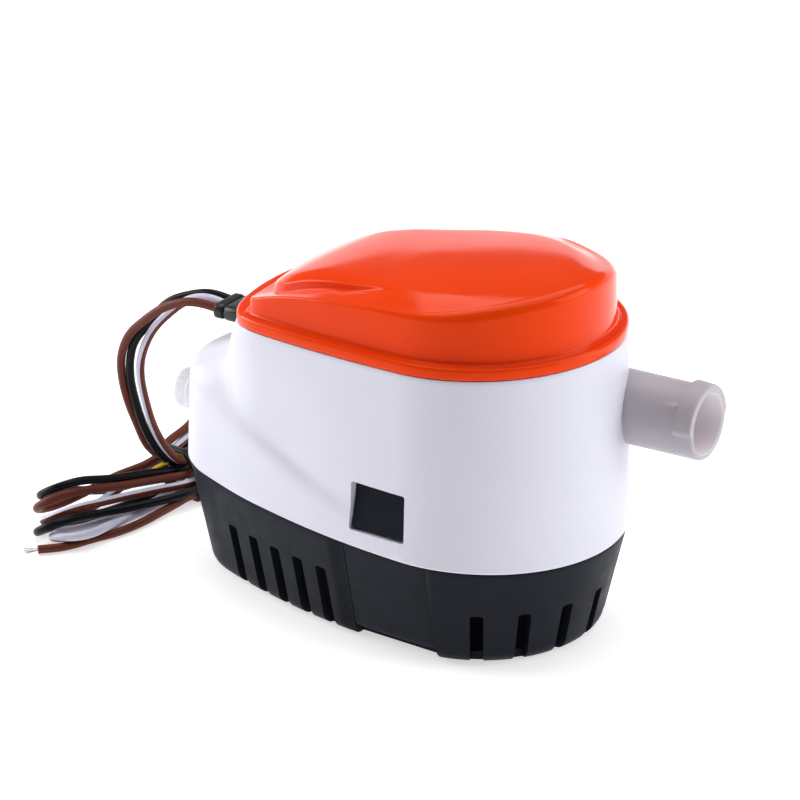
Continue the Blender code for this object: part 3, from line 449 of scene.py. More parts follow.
def catmull(pts, step):
    """Centripetal curve through the points, evenly spaced."""
    P = [np.array(p, float) for p in pts]
    P = [2 * P[0] - P[1]] + P + [2 * P[-1] - P[-2]]
    out = []
    for p0, p1, p2, p3 in zip(P[:-3], P[1:-2], P[2:-1], P[3:]):
        t0 = 0.0
        t1 = t0 + np.linalg.norm(p1 - p0) ** 0.5
        t2 = t1 + np.linalg.norm(p2 - p1) ** 0.5
        t3 = t2 + np.linalg.norm(p3 - p2) ** 0.5
        for i in range(24):
            t = t1 + (t2 - t1) * i / 24
            a1 = (t1 - t) / (t1 - t0) * p0 + (t - t0) / (t1 - t0) * p1
            a2 = (t2 - t) / (t2 - t1) * p1 + (t - t1) / (t2 - t1) * p2
            a3 = (t3 - t) / (t3 - t2) * p2 + (t - t2) / (t3 - t2) * p3
            b1 = (t2 - t) / (t2 - t0) * a1 + (t - t0) / (t2 - t0) * a2
            b2 = (t3 - t) / (t3 - t1) * a2 + (t - t1) / (t3 - t1) * a3
            out.append((t2 - t) / (t2 - t1) * b1 + (t - t1) / (t2 - t1) * b2)
    out.append(P[-2])
    return even(np.array(out), step)


def even(q, step):
    s = np.concatenate([[0], np.cumsum(np.linalg.norm(np.diff(q, axis=0), axis=1))])
    n = max(4, int(round(s[-1] / step)) + 1)
    at = np.linspace(0, s[-1], n)
    return np.stack([np.interp(at, s, q[:, k]) for k in range(3)], -1)


def settle(curves, rounds=220, gap=WIRE + 0.06):
    """Ease the leads apart, keep them on the floor, smooth them and hold them near their routes."""
    names = list(curves)
    home = np.concatenate([curves[n] for n in names])
    which = np.concatenate([np.full(len(curves[n]), i) for i, n in enumerate(names)])
    at = np.concatenate([np.arange(len(curves[n])) for n in names])
    ends = np.zeros(len(home), bool)
    for i in range(len(names)):
        w = np.where(which == i)[0]
        ends[w[:4]] = True
    q = home.copy()
    far = np.where(which[:, None] == which[None, :], np.abs(at[:, None] - at[None, :]) < 9, False)
    inner = np.zeros(len(home), bool)
    inner[1:-1] = (which[1:-1] == which[:-2]) & (which[1:-1] == which[2:])
    for r in range(rounds):
        d = q[:, None, :] - q[None, :, :]
        dist = np.sqrt((d * d).sum(-1)) + 1e-9
        close = (dist < gap) & ~far
        np.fill_diagonal(close, False)
        push = np.where(close, (gap - dist) / dist * 0.5, 0.0)[:, :, None] * d
        move = push.sum(1) * 0.55
        lap = np.zeros_like(q)
        lap[1:-1] = 0.5 * (q[:-2] + q[2:]) - q[1:-1]
        lap2 = np.zeros_like(q)
        lap2[1:-1] = 0.5 * (lap[:-2] + lap[2:]) - lap[1:-1]
        lap[~inner] = 0.0
        bend = np.zeros_like(q)
        ok = inner.copy()
        ok[2:-2] &= inner[1:-3] & inner[3:-1]
        bend[ok] = -lap2[ok]
        move += 0.30 * bend + 0.02 * (home - q)
        if r > rounds - 30:
            move += 0.02 * lap
        move[ends] = 0.0
        q = q + move
        rel = q[:, :2] - TIE_C
        along, u = rel @ TIE_T, rel @ TIE_N
        by_tie = (np.abs(along) < 3.2) & (q[:, 2] < 16)
        floor = np.where(by_tie, 2.5, 1.27)
        q[:, 2] = np.maximum(q[:, 2], floor)
        lim = np.clip(u, -11.4, 9.2) - u
        q[by_tie, :2] += (lim[:, None] * TIE_N)[by_tie] * 0.6
    return {n: q[which == i] for i, n in enumerate(names)}


LEADS = settle({n: catmull(p, 1.55) for n, p in ROUTES.items()})


def frames_along(q, up0):
    t = np.gradient(q, axis=0)
    t /= np.linalg.norm(t, axis=1)[:, None]
    n = np.zeros_like(q)
    v = np.array(up0, float)
    for i in range(len(q)):
        v = v - t[i] * (v @ t[i])
        v /= np.linalg.norm(v)
        n[i] = v
    return t, n, np.cross(t, n)


def tube(q, r, k=16, up0=(0, 0, 1), twist=0.0, radii=None):
    t, n, b = frames_along(q, up0)
    a = np.linspace(0, 2 * math.pi, k, endpoint=False)
    rings = []
    for i in range(len(q)):
        ph = a + (twist[i] if hasattr(twist, "__len__") else twist)
        rr = r if radii is None else radii[i]
        rings.append(q[i] + rr * (np.cos(ph)[:, None] * n[i] + np.sin(ph)[:, None] * b[i]))
    return rings


def fine(q, step=1.1):
    """Rounder version of a settled line."""
    for _ in range(2):
        m = 0.75 * q[:-1] + 0.25 * q[1:]
        p = 0.25 * q[:-1] + 0.75 * q[1:]
        mid = np.empty((2 * len(m), 3))
        mid[0::2], mid[1::2] = m, p
        q = np.concatenate([q[:1], mid, q[-1:]])
    return even(q, step)


LEAD_LINES = {n: fine(q) for n, q in LEADS.items()}


FACING = ((0.00, (0.0, -0.2, 1.0)), (0.05, (0.0, -0.2, 1.0)), (0.10, (-0.82, -0.57, 0.2)), (0.21, (-0.82, -0.57, 0.15)),
          (0.27, (-0.38, 0.62, 0.69)), (0.66, (-0.38, 0.62, 0.69)), (0.71, (0.40, -0.75, 0.55)), (1.00, (0.40, -0.75, 0.55)))


def turned_to(q):
    """Turn of the section at each point that brings its first half round to the wanted side."""
    t, n, b = frames_along(q, (0, 0, 1))
    share = np.linspace(0, 1, len(q))
    D = np.stack([np.interp(share, [k[0] for k in FACING], [k[1][i] for k in FACING]) for i in range(3)], -1)
    a = np.unwrap(np.arctan2((D * b).sum(1), (D * n).sum(1)))
    w = 21
    return np.convolve(np.pad(a, w // 2, mode="edge"), np.ones(w) / w, mode="valid")


def lead(name, key, mats, replaces):
    q = LEAD_LINES[key]
    rings = tube(q, WIRE / 2, twist=turned_to(q) if len(mats) > 1 else 0.0)
    # the skin of the insulation ends in a cut face, a little drawn in
    last = rings[-1]
    mid = q[-1]
    rings += [mid + (last - mid) * 0.93, mid + (last - mid) * 0.55]
    first = rings[0]
    rings = [q[0] + (first - q[0]) * 0.5] + rings
    v, f = skin(rings, cap0=True, cap1=True)
    fm = None
    if len(mats) > 1:
        k = 16
        fm = []
        for j in range(len(rings) - 1):
            fm += [0 if (i + 4) % k < 8 else 1 for i in range(k)]
        fm += [0] * (len(f) - len(fm))
    ob = make(name, v, f, "pump", mats, replaces, sharp=50.0, face_mats=fm, clean=True)
    tail = bare_end(name + "_bare", q)
    return ob


def bare_end(name, q):
    """Tinned strands standing out of the cut end."""
    t = q[-1] - q[-4]
    t /= np.linalg.norm(t)
    side = np.cross(t, (0, 0, 1.0))
    side /= np.linalg.norm(side)
    up = np.cross(side, t)
    parts = []
    for i in range(9):
        a = 2 * math.pi * i / 8
        r = 0.0 if i == 8 else 0.36
        c, s = r * math.cos(a), r * math.sin(a)
        pts = []
        for j in range(9):
            f = j / 8
            sp = 1 + 1.3 * f * f * (0.6 + 0.4 * math.sin(3.1 * i))
            tw = 0.9 * f
            cc, ss = c * math.cos(tw) - s * math.sin(tw), c * math.sin(tw) + s * math.cos(tw)
            L = -1.0 + f * (4.6 + 0.7 * math.sin(2.3 * i + 1))
            pts.append(q[-1] + t * L + side * cc * sp + up * (ss * sp + 0.25 * f * f * math.cos(1.7 * i)))
        rr = tube(np.array(pts), 0.16, k=6)
        parts.append(skin(rr, cap0=True, cap1=True))
    v, f = joined(parts)
    v[:, 2] = np.maximum(v[:, 2], 0.02)
    return make(name, v, f, "pump", [TINNED], sharp=60.0)


lead("lead_brown_v", "brown", [W_BROWN], ("lead_brown", "wire_hank"))
lead("lead_black_v", "black", [W_BLACK], ("lead_black",))
lead("lead_striped_v", "striped", [W_WHITE, W_BROWN], ("lead_striped",))


def hull(pts):
    pts = sorted(map(tuple, pts))
    def half(seq):
        out = []
        for p in seq:
            while len(out) > 1 and (out[-1][0] - out[-2][0]) * (p[1] - out[-2][1]) - \
                    (out[-1][1] - out[-2][1]) * (p[0] - out[-2][0]) <= 0:
                out.pop()
            out.append(p)
        return out[:-1]
    return np.array(half(pts) + half(pts[::-1]))


# the tie's loop follows the strands that it holds
BAND_AT = 3.2                                        # along the strands from their tightest place
cross = []
for q in LEAD_LINES.values():
    rel = q[:, :2] - TIE_C
    along = rel @ TIE_T
    pick = (np.abs(along - BAND_AT) < 2.4) & (q[:, 2] < 13.0)
    cross += [(u, z) for u, z in zip((rel @ TIE_N)[pick], q[pick, 2])]
ang = np.linspace(0, 2 * math.pi, 24, endpoint=False)
cloud = [(u + (WIRE / 2 + 0.1) * math.cos(a), z + (WIRE / 2 + 0.1) * math.sin(a)) for u, z in cross for a in ang]
hu = hull(cloud)
hu = np.concatenate([hu, hu[:1]])
s = np.concatenate([[0], np.cumsum(np.linalg.norm(np.diff(hu, axis=0), axis=1))])
at = np.linspace(0, s[-1], 96, endpoint=False)
loop = np.stack([np.interp(at, s, hu[:, k]) for k in range(2)], -1)
for _ in range(3):
    loop = 0.5 * loop + 0.25 * (np.roll(loop, 1, 0) + np.roll(loop, -1, 0))
tan = np.roll(loop, -1, 0) - np.roll(loop, 1, 0)
tan /= np.linalg.norm(tan, axis=1)[:, None]
outw = np.stack([tan[:, 1], -tan[:, 0]], -1)
if ((outw * (loop - loop.mean(0))).sum(1)).mean() < 0:
    outw = -outw
sect = [(-1.15, 0.12), (-1.3, 0.35), (-1.28, 0.7), (-1.05, 0.95), (-0.5, 1.05), (0.5, 1.05), (1.05, 0.95), (1.28, 0.7),
        (1.3, 0.35), (1.15, 0.12), (0.5, 0.05), (-0.5, 0.05)]
rings = []
for i in range(len(loop)):
    rr = []
    for a, h in sect:
        u, z = loop[i] + outw[i] * h
        p = TIE_C + TIE_N * u + TIE_T * (a + BAND_AT)
        rr.append((p[0], p[1], max(z, 0.03)))
    rings.append(np.array(rr))
v, f = skin(rings, loop_rings=True)
# its yellow tail lies along the strands, from under the band
tail = catmull([(-118.6, 12.3, 9.3), (-117.4, 14.8, 10.0), (-116.5, 17.0, 10.6), (-115.9, 19.6, 11.2), (-114.8, 22.4, 11.4)], 0.6)
tt, tn, tb = frames_along(tail, (0, 0, 1))
strip = []
for i in range(len(tail)):
    w = 0.85 * min(1.0, 0.35 + i / 4.0)
    strip.append(np.array([tail[i] + tb[i] * x + tn[i] * y for x, y in ((w, 0.2), (0.8 * w, 0.32), (-0.8 * w, 0.32), (-w, 0.2),
                                                                       (-w, -0.2), (-0.8 * w, -0.3), (0.8 * w, -0.3), (w, -0.2))]))
tv, tf = skin(strip, cap0=True, cap1=True)
n_band = len(f)
v, f = joined([(v, f), (tv, tf)])
make("tie_v", v, f, "pump", [BAND, YELLOW], ("hank_tie",), face_mats=[0] * n_band + [1] * (len(f) - n_band))

# ------------------------------------------------------------------------------ housing
def body_radius(z, thick=0.0, lift=0.0):
    z = np.broadcast_to(np.asarray(z, float), (N,))
    t = (z - SEAM_Z) / (RIM_Z - SEAM_Z)
    xp = PC + lower(0) * CT
    tuck = 1.6 * smooth((-xp - 18.0) / 40.0) * smooth((80.0 - z) / 22.0)
    up = rim((R1 - R2) * (1 - t) - thick - tuck, FRONT_K * np.maximum(0.0, 80.4 - z) + tuck)
    edge = np.minimum(60.5, 54.3 - 0.33 * (xp + 65.0))
    i = np.minimum(softplus(z + lift - edge, 1.1) / 0.45, 26.5)
    sk = look(SKIRT_T, INS, i) - thick - 0.045 * (z - 30.0) * smooth((-xp - 40.0) / 40.0)
    k = 0.30 + 1.0 * smooth((-CT - 0.55) / 0.4)
    return np.maximum(up, sk) + k * np.log1p(np.exp(-np.abs(up - sk) / k))


def at_level(t, thick=0.0, lift=0.0, lo=0.15, hi=-0.15):
    """Ring of the housing wall a share t of the way from the seam to the rim."""
    x = PC + lower(0) * CT
    for _ in range(4):
        z = (seam(x) + lo) * (1 - t) + (rimz(x) + hi) * t
        r = body_radius(z, thick, lift)
        x = PC + r * CT
    return np.stack([x, r * ST, z], -1)


def inset(rg, d):
    """Draw a ring in towards the pole by d."""
    r = np.hypot(rg[:, 0] - PC, rg[:, 1])
    k = (r - d) / r
    return np.stack([PC + (rg[:, 0] - PC) * k, rg[:, 1] * k, rg[:, 2]], -1)


T_OUT = np.concatenate([np.linspace(0.008, 0.30, 12), np.linspace(0.32, 0.78, 40), np.linspace(0.80, 0.992, 12)])
outer = [inset(at_level(0.0), 0.30)] + [at_level(t) for t in T_OUT] + [inset(at_level(1.0), 0.25)]
inner = [at_level(t, 2.3, 1.6) for t in (1.0, 0.9, 0.8, 0.7, 0.62, 0.55, 0.48, 0.4, 0.3, 0.15, 0.0)]
v, f = skin(outer + inner, loop_rings=True)
housing = make("housing_v", v, f, "pump", [WHITE], ("housing",))
tools = []
for side in (-1, 1):
    wf = wall_frame(-8.5, side)
    bv, bf = block(wf, (-8.7, -7.0, 35.3), (8.7, 4.0, 48.8), r=0.7, axis=1)
    tools.append(make("tool", bv, bf, None, []))
a = np.linspace(0, 2 * math.pi, 48, endpoint=False)
bore = [np.stack([np.full(48, x), 17.05 + 8.4 * np.cos(a), 62.0 + 8.4 * np.sin(a)], -1) for x in (20.0, 50.0)]
bv, bf = skin(bore)
bf += [tuple(range(48)), tuple(range(48, 96))]
tools.append(make("tool", bv, bf, None, []))
cut(housing, tools)


# deck, pump tube and its ceiling inside the housing
def turned(prof, n=96, cx=0.0, loop=True):
    a = np.linspace(0, 2 * math.pi, n, endpoint=False)
    rr = [np.stack([cx + r * np.cos(a), r * np.sin(a), np.full(n, z)], -1) for r, z in prof]
    return skin(rr, loop_rings=loop)


deck_out = at_level((65.0 - SEAM_Z) / (RIM_Z - SEAM_Z), 2.4, 1.6)
ang = np.arctan2(deck_out[:, 1], deck_out[:, 0])
hole = np.stack([29.6 * np.cos(ang), 29.6 * np.sin(ang)], -1)
dk = []
for src, z in ((deck_out[:, :2], 64.0), (deck_out[:, :2], 66.5), (hole, 66.5), (hole, 64.0)):
    dk.append(np.concatenate([src, np.full((N, 1), z)], 1))
parts = [skin(dk, loop_rings=True),
         turned([(30.0, 33.4), (30.0, 74.9), (29.4, 75.5), (22.5, 75.5), (22.5, 73.0), (28.0, 73.0), (28.0, 33.4),
                 (28.4, 33.0), (29.6, 33.0)])]
v, f = joined(parts)
make("housing_core", v, f, "pump", [WHITE])

# ------------------------------------------------------------------------------ outlet spigot
PY, PZ, PEND = 17.05, 62.0, 58.8
KA = 144
pa = np.linspace(0, 2 * math.pi, KA, endpoint=False)
up_half = smooth((np.sin(pa) + 0.10) / 0.20)


def pipe_ring(x, r):
    return np.stack([np.full(KA, x), PY + r * np.cos(pa), PZ + r * np.sin(pa)], -1)


part_line = np.exp(-((np.sin(pa)) / 0.018) ** 2)
rib = np.exp(-(np.angle(np.exp(1j * (pa - math.radians(141)))) / math.radians(4.2)) ** 2)
rings = []
for x in np.concatenate([np.linspace(24.0, 53.1, 42), [53.4, 53.5, 53.65, 53.8, 54.2], np.linspace(54.8, 58.0, 6),
                         [58.35, 58.6, 58.75]]):
    r = 9.95 - 0.003 * (x - 30)
    edge = 0.0
    if x >= 53.45:
        edge = 1.1 * min(1.0, (x - 53.45) / 0.3) - 0.07 * max(0.0, x - 54.1)
    if x > 58.0:
        r -= 0.35 * ((x - 58.0) / 0.75) ** 2
    root = 2.2 * math.exp(-max(0.0, x - 34.0) / 1.6) if x > 30 else 2.2
    rb = 0.7 * smooth((x - 48.6) / 4.4) if x < 53.5 else 0.0
    rings.append(pipe_ring(x, r + root * 0.0 + edge * up_half + 0.07 * part_line * (x < 58.0) + rb * rib))
rings += [pipe_ring(58.8, np.full(KA, 9.45)), pipe_ring(58.8, np.full(KA, 8.45)), pipe_ring(58.6, np.full(KA, 8.28)),
          pipe_ring(58.2, np.full(KA, 8.24)), pipe_ring(40.0, np.full(KA, 8.15)), pipe_ring(24.0, np.full(KA, 8.1))]
v, f = skin(rings, loop_rings=True)
inside = np.arange(len(f)) // KA >= len(rings) - 5
# outside of the spigot in the darkened copy of the white plastic (painted shade), inside of the bore in the brightened
# copy (painted light)
make("spigot_v", v, f, "pump", [PIPE_PAINTED_SHADE, BORE_PAINTED_LIGHT], ("outlet_spigot",), sharp=40.0, face_mats=inside.astype(int))

# ------------------------------------------------------------------------------ lid
def bend(xs, ys):
    """Smooth curve through a few design heights."""
    xs, ys = np.array(xs, float), np.array(ys, float)
    sl = np.gradient(ys, xs)

    def at(x):
        x = np.clip(np.asarray(x, float), xs[0], xs[-1] - 1e-9)
        k = np.clip(np.searchsorted(xs, x, side="right") - 1, 0, len(xs) - 2)
        w = xs[k + 1] - xs[k]
        t = (x - xs[k]) / w
        return ((2 * t ** 3 - 3 * t ** 2 + 1) * ys[k] + (t ** 3 - 2 * t ** 2 + t) * w * sl[k]
                + (-2 * t ** 3 + 3 * t ** 2) * ys[k + 1] + (t ** 3 - t ** 2) * w * sl[k + 1])
    return at


def lid_wall(d):
    """Wall outline drawn in by -d, with a tighter corner at the narrow end than the rim."""
    return soft_min(look(EGG_T, OFF, d - 3.2), front(FRONT_R + d - 5.6), 1.4)


edge_at = bend((-68, -62, -60, -57.4, -52.3, -47.3, -42, -36, -28, -20, -13, -4, 5, 12, 20, 27, 33, 40),
               (4.4, 4.9, 5.7, 7.1, 8.9, 10.2, 11.3, 12.25, 13.15, 13.9, 14.4, 14.85, 15.5, 16.2, 17.4, 18.5, 19.4, 20.2))
spine_at = bend((-66, -58, -53, -48, -42, -35, -24, -12, 0, 8, 16, 24, 32, 40),
                (5.6, 9.0, 11.4, 13.7, 15.8, 17.2, 18.6, 20.0, 21.0, 21.25, 21.3, 21.2, 21.0, 20.6))


def dome(x, y):
    """Height of the raised top over the rim: a spine, drawn down to both sides and towards one corner."""
    q = softplus((x + y) * 0.7071 - 22.5, 2.0)
    side = 0.0021 + 0.0013 * smooth((np.asarray(x) + 30.0) / 30.0)
    return spine_at(x) - side * y * y - 4.1 * (1 - np.exp(-0.011 * q * q))


W0 = lid_wall(0.0)
WX, WY = PC + W0 * CT, W0 * ST
FILLET = 0.85 + 2.1 * smooth((WX + 16.0) / 36.0)
IN_X, IN_Y = PC + (W0 - FILLET) * CT, (W0 - FILLET) * ST
TOP_E = soft_min(edge_at(WX) + 0.29 * FILLET, dome(IN_X, IN_Y) - 0.15, 0.5)


def lid_ring(rad, h):
    x, y = PC + rad * CT, rad * ST
    hh = h(x) if callable(h) else h
    return np.stack([x, y, rimz(x) + hh], -1)


lid_rings = [lid_ring(rim(-2.6), 0.15), lid_ring(rim(-0.22), 0.15), lid_ring(rim(-0.05), 0.24), lid_ring(rim(0.0), 0.42),
             lid_ring(rim(0.0), 1.2), lid_ring(rim(0.0), 2.25), lid_ring(rim(-0.08), 2.62), lid_ring(rim(-0.30), 2.95),
             lid_ring(rim(-0.62), 3.15), lid_ring(rim(-1.0), 3.2)]
r09 = rim(-1.0)
foot_r = W0 + 1.25
for s in (0.35, 0.7, 0.92):
    lid_rings.append(lid_ring(r09 + (foot_r + 0.25 - r09) * s, 3.2 - 0.04 * s))
lid_rings += [lid_ring(foot_r + 0.22, 3.10), lid_ring(foot_r + 0.10, 2.98), lid_ring(foot_r - 0.02, 3.06)]
for a in (12, 30, 48, 66, 84):
    c = math.radians(a)
    lid_rings.append(lid_ring(W0 + 1.15 * (1 - math.sin(c)), 3.12 + 1.15 * (1 - math.cos(c))))
wall_top = TOP_E - FILLET
for s in (0.15, 0.35, 0.55, 0.75, 0.9):
    lid_rings.append(lid_ring(lid_wall(-0.3 * s), 4.3 + (wall_top - 4.3) * s))


def drawn(d):
    """Wall outline with its own inset in each direction."""
    keys = np.array([0.0, 0.5, 1.0, 1.5, 2.0, 2.5, 3.0, 3.5])
    rows = np.array([lid_wall(-k) for k in keys])
    f_ = np.clip(d / 0.5, 0, len(keys) - 1.001)
    k = f_.astype(int)
    i_ = np.arange(N)
    return rows[k, i_] * (1 - (f_ - k)) + rows[k + 1, i_] * (f_ - k)


for a in (0, 10, 20, 32, 45, 58, 70, 80, 90):
    c = math.radians(a)
    lid_rings.append(lid_ring(drawn(0.3 + FILLET * (1 - math.cos(c))), wall_top + FILLET * math.sin(c)))
# top: a sloping shelf inside the edge, a riser round the narrow end that fades along the sides, and the crown
edge_r = drawn(0.3 + FILLET)
ex = PC + edge_r * CT
out_w = smooth((ex + 30.0) / 26.0)
foot = np.minimum(soft_min(look(EGG_T, OFF, -11.0), front(FRONT_R - 7.3), 5.0), edge_r - 0.45)
STEP = 0.5


def crown(t):
    """Top at distance t (one value per direction) from the crown's middle."""
    xs, ys = PC + t * CT, t * ST
    u, w = edge_r - t, foot - t
    shelf = TOP_E + 0.10 * np.minimum(u, 12.0)
    rise = STEP * smooth(w / 0.75) + (1 - STEP) * (1 - (1 - np.clip(w / 6.0, 0.0, 1.0)) ** 2)
    swell = 1 - (1 - np.clip(u / 11.0, 0.0, 1.0)) ** 2
    g = rise * (1 - out_w) + swell * out_w
    return np.stack([xs, ys, rimz(xs) + shelf + (dome(xs, ys) - shelf) * g], -1)


for s in (0.15, 0.35, 0.55, 0.75, 0.9):
    lid_rings.append(crown(edge_r + (foot - edge_r) * s))
for w in (0.0, 0.1, 0.2, 0.3, 0.4, 0.5, 0.62, 0.75, 0.95, 1.25, 1.7, 2.3, 3.0, 3.8, 4.8, 6.0):
    lid_rings.append(crown(foot - w))
for k in (0.95, 0.88, 0.8, 0.72, 0.63, 0.53, 0.43, 0.33, 0.23, 0.14, 0.06):
    lid_rings.append(crown((foot - 6.0) * k))
# ease the innermost rings into each other
for _ in range(2):
    keep = [r.copy() for r in lid_rings]
    for j in range(len(lid_rings) - 13, len(lid_rings) - 1):
        lid_rings[j] = 0.5 * keep[j] + 0.25 * (keep[j - 1] + keep[j + 1])
top_in = [lid_ring(lid_wall(-4.2) * k, lambda x: np.minimum(edge_at(x), 12.0) - 2.6) for k in (0.15, 0.6, 1.0)]
under = top_in + [lid_ring(rim(-5.2), 0.15)]
v1, f1 = skin(lid_rings, cap1=True)
v2, f2 = skin(under, cap0=True)
n1 = len(v1)
v = np.concatenate([v1, v2])
f = f1 + [tuple(i + n1 for i in q) for q in f2]
last = n1 + 3 * N
f += [(last + i, last + (i + 1) % N, (i + 1) % N, i) for i in range(N)]
make("lid_v", v, f, "pump", [ORANGE], ("lid",), sharp=60.0)

# ------------------------------------------------------------------------------ strainer base
LX = -8.5
W_OUT = (lower(0.0), np.zeros(N))
REC = 1.4


def base_d(z, top):
    """Offset from the seam outline at height z: rounded foot, then a straight flare."""
    d = -6.3 + (z - 3.0) * (5.85 / (top - 3.0))
    q = np.clip((3.6 - z) / 3.6, 0, 1)
    return d - 3.3 * (1 - np.sqrt(np.maximum(1 - q * q, 0.0)))


def recess(x, y):
    """How far the wall is drawn in beside the latch panels."""
    out = np.zeros(len(x))
    for side in (-1, 1):
        m = wall_frame(LX, side).inverted()
        u = np.array([(m @ Vector((px, py, 0)))[0] for px, py in zip(x, y)])
        near = (y * side > 5.0) & (np.abs(u) < 40)
        g = smooth((u + 17.6) / 5.0) * (u < 5) + smooth((16.4 - u) / 2.1) * (u >= 5)
        out = np.where(near, REC * g, out)
    return out


BX, BY = PC + lower(0) * CT, lower(0) * ST
REC_A = recess(BX, BY)


def base_ring(share):
    x = BX
    for _ in range(3):
        top = seam(x) - 0.15
        z = top * share
        r = lower(base_d(z, top)) - REC_A * smooth(z / 2.5)
        x = PC + r * CT
    return np.stack([x, r * ST, z], -1)


outer = [ring(lower(-12.0), 0.0)] + [base_ring(s) for s in
                                     [0.0, 0.004, 0.015, 0.035, 0.06, 0.09, 0.12] + list(np.linspace(0.16, 0.985, 22))]
outer.append(inset(base_ring(1.0), 0.25))
inner = [ring(lower(-2.85), lambda x: seam(x) - 0.15), ring(lower(-2.9), lambda x: seam(x) + 3.7),
         ring(lower(-3.2), lambda x: seam(x) + 4.0), ring(lower(-4.4), lambda x: seam(x) + 4.0),
         ring(lower(-4.6), lambda x: seam(x) + 3.6), ring(lower(-4.6), lambda x: seam(x) - 3.0),
         ring(lower(-8.0), 6.0), ring(lower(-9.0), 2.4)]
v, f = skin(outer + inner, cap0=True, cap1=True)
base = make("strainer_base_v", v, f, "base", [BLACK], ("strainer_base",))
tools = []
for side in (-1, 1):
    bv, bf = block(wall_frame(LX, side), (-12.6, -12.0, -3.0), (14.3, 6.0, 60.0))
    tools.append(make("tool", bv, bf, None, []))
parts = []
for side in (-1, 1):
    for i in range(5):
        parts.append(block(wall_frame(-29.9 - 8.83 * i, side), (-1.9, -10.2, -2.0), (1.9, 9.6, 19.4), r=0.9, axis=1))
for i in range(-3, 4):
    a = math.radians(20.3 * i)
    m = Matrix.Translation((R1 * math.cos(a), R1 * math.sin(a), 0)) @ Matrix.Rotation(a - math.pi / 2, 4, "Z")
    parts.append(block(m, (-1.8, -10.2, -2.0), (1.8, 9.6, 15.7), r=0.8, axis=1))
bv, bf = joined(parts)
tools.append(make("tool", bv, bf, None, []))
for x in (-62.0, 22.0):
    bv, bf = turned([(2.2, -1.0), (2.2, 4.0)], 40, x, loop=False)
    bf += [tuple(range(40)), tuple(range(40, 80))]
    tools.append(make("tool", bv, bf, None, []))
cut(base, tools)


# ------------------------------------------------------------------------------ latches
def latch(name, side, node):
    wf = wall_frame(LX, side)
    us = np.linspace(-12.5, 14.2, 60)
    sh = np.linspace(0.0, 1.0, 26)
    front, back = [], []
    low_pts = np.stack([BX, BY], -1)
    inv = wf.inverted()
    loc = np.array([(inv @ Vector((p[0], p[1], 0)))[:2] for p in low_pts])
    sel = (loc[:, 1] > -25) & (np.abs(loc[:, 0]) < 30)
    o = np.argsort(loc[sel, 0])
    curve_u, curve_w = loc[sel, 0][o], loc[sel, 1][o]
    w_of = np.interp(us, curve_u, curve_w)
    rows_f, rows_b = [], []
    for s_ in sh:
        rf, rb = [], []
        for u, w in zip(us, w_of):
            p = wf @ Vector((u, w, 0))
            top = float(seam(p.x)) - 0.35
            z = 3.15 + (top - 3.15) * s_
            d = float(base_d(np.array([z]), top + 0.2)[0])
            bulge = 0.0
            w1 = w + d - REC + bulge
            edge = min(1.0, min((u + 12.5), (14.2 - u)) / 0.15)
            edge2 = min(1.0, min(z - 3.15, top - z) / 0.6)
            rr = 0.12 * (1 - math.sqrt(max(0.0, 1 - (1 - edge) ** 2))) + 0.35 * (1 - math.sqrt(max(0.0, 1 - (1 - edge2) ** 2)))
            rf.append((wf @ Vector((u, w1 - rr, z)))[:])
            rb.append((wf @ Vector((u, min(w1 - 2.4, w1 - 0.4 - rr), z)))[:])
        rows_f.append(rf)
        rows_b.append(rb)
    nu, ns = len(us), len(sh)
    grid = np.array(rows_f + rows_b).reshape(-1, 3)
    f = []
    off = nu * ns
    for j in range(ns - 1):
        for i in range(nu - 1):
            a = j * nu + i
            f.append((a, a + 1, a + 1 + nu, a + nu))
            f.append((off + a, off + a + nu, off + a + nu + 1, off + a + 1))
    for i in range(nu - 1):
        f.append((i, off + i, off + i + 1, i + 1))
        b = (ns - 1) * nu + i
        f.append((b, b + 1, off + b + 1, off + b))
    for j in range(ns - 1):
        a = j * nu
        f.append((a, a + nu, off + a + nu, off + a))
        b = a + nu - 1
        f.append((b, off + b, off + b + nu, b + nu))
    # tongue behind the window, with the wedge that fills it
    tongue = block(wf, (-9.6, -6.0, 22.0), (9.5, -4.1, 50.2), r=0.5, axis=2)
    prof = [(-4.3, 48.6), (-3.7, 48.6), (-1.35, 38.2), (-0.75, 36.3), (-1.0, 35.85), (-4.3, 35.6)]
    ring_u = []
    for u in (-8.4, -8.25, 8.25, 8.4):
        k = 0.0 if abs(u) < 8.3 else 0.18
        ring_u.append(np.array([(wf @ Vector((u, w - (k if w > -4 else 0), z)))[:] for w, z in prof]))
    pv, pf = skin(ring_u)
    pf += [tuple(range(6)), tuple(range(18, 24))]
    v, f = joined([(grid, f), tongue, (pv, pf)])
    make(name, v, f, node, [BLACK], (node,))


latch("latch_front_v", -1, "latch_front")
latch("latch_rear_v", 1, "latch_rear")

# ------------------------------------------------------------------------------ test knob
KZ, KX0 = 44.8, -97.5
KN = 288
ka = np.linspace(0, 2 * math.pi, KN, endpoint=False)
ribs = 0.5 - 0.5 * np.cos(ka * 36)
ribs = np.where(ribs > 0.3, 1.0, ribs / 0.3)


def knob_ring(x, r):
    rr = np.broadcast_to(np.asarray(r, float), (KN,))
    return np.stack([np.full(KN, x), rr * np.cos(ka), KZ + rr * np.sin(ka)], -1)


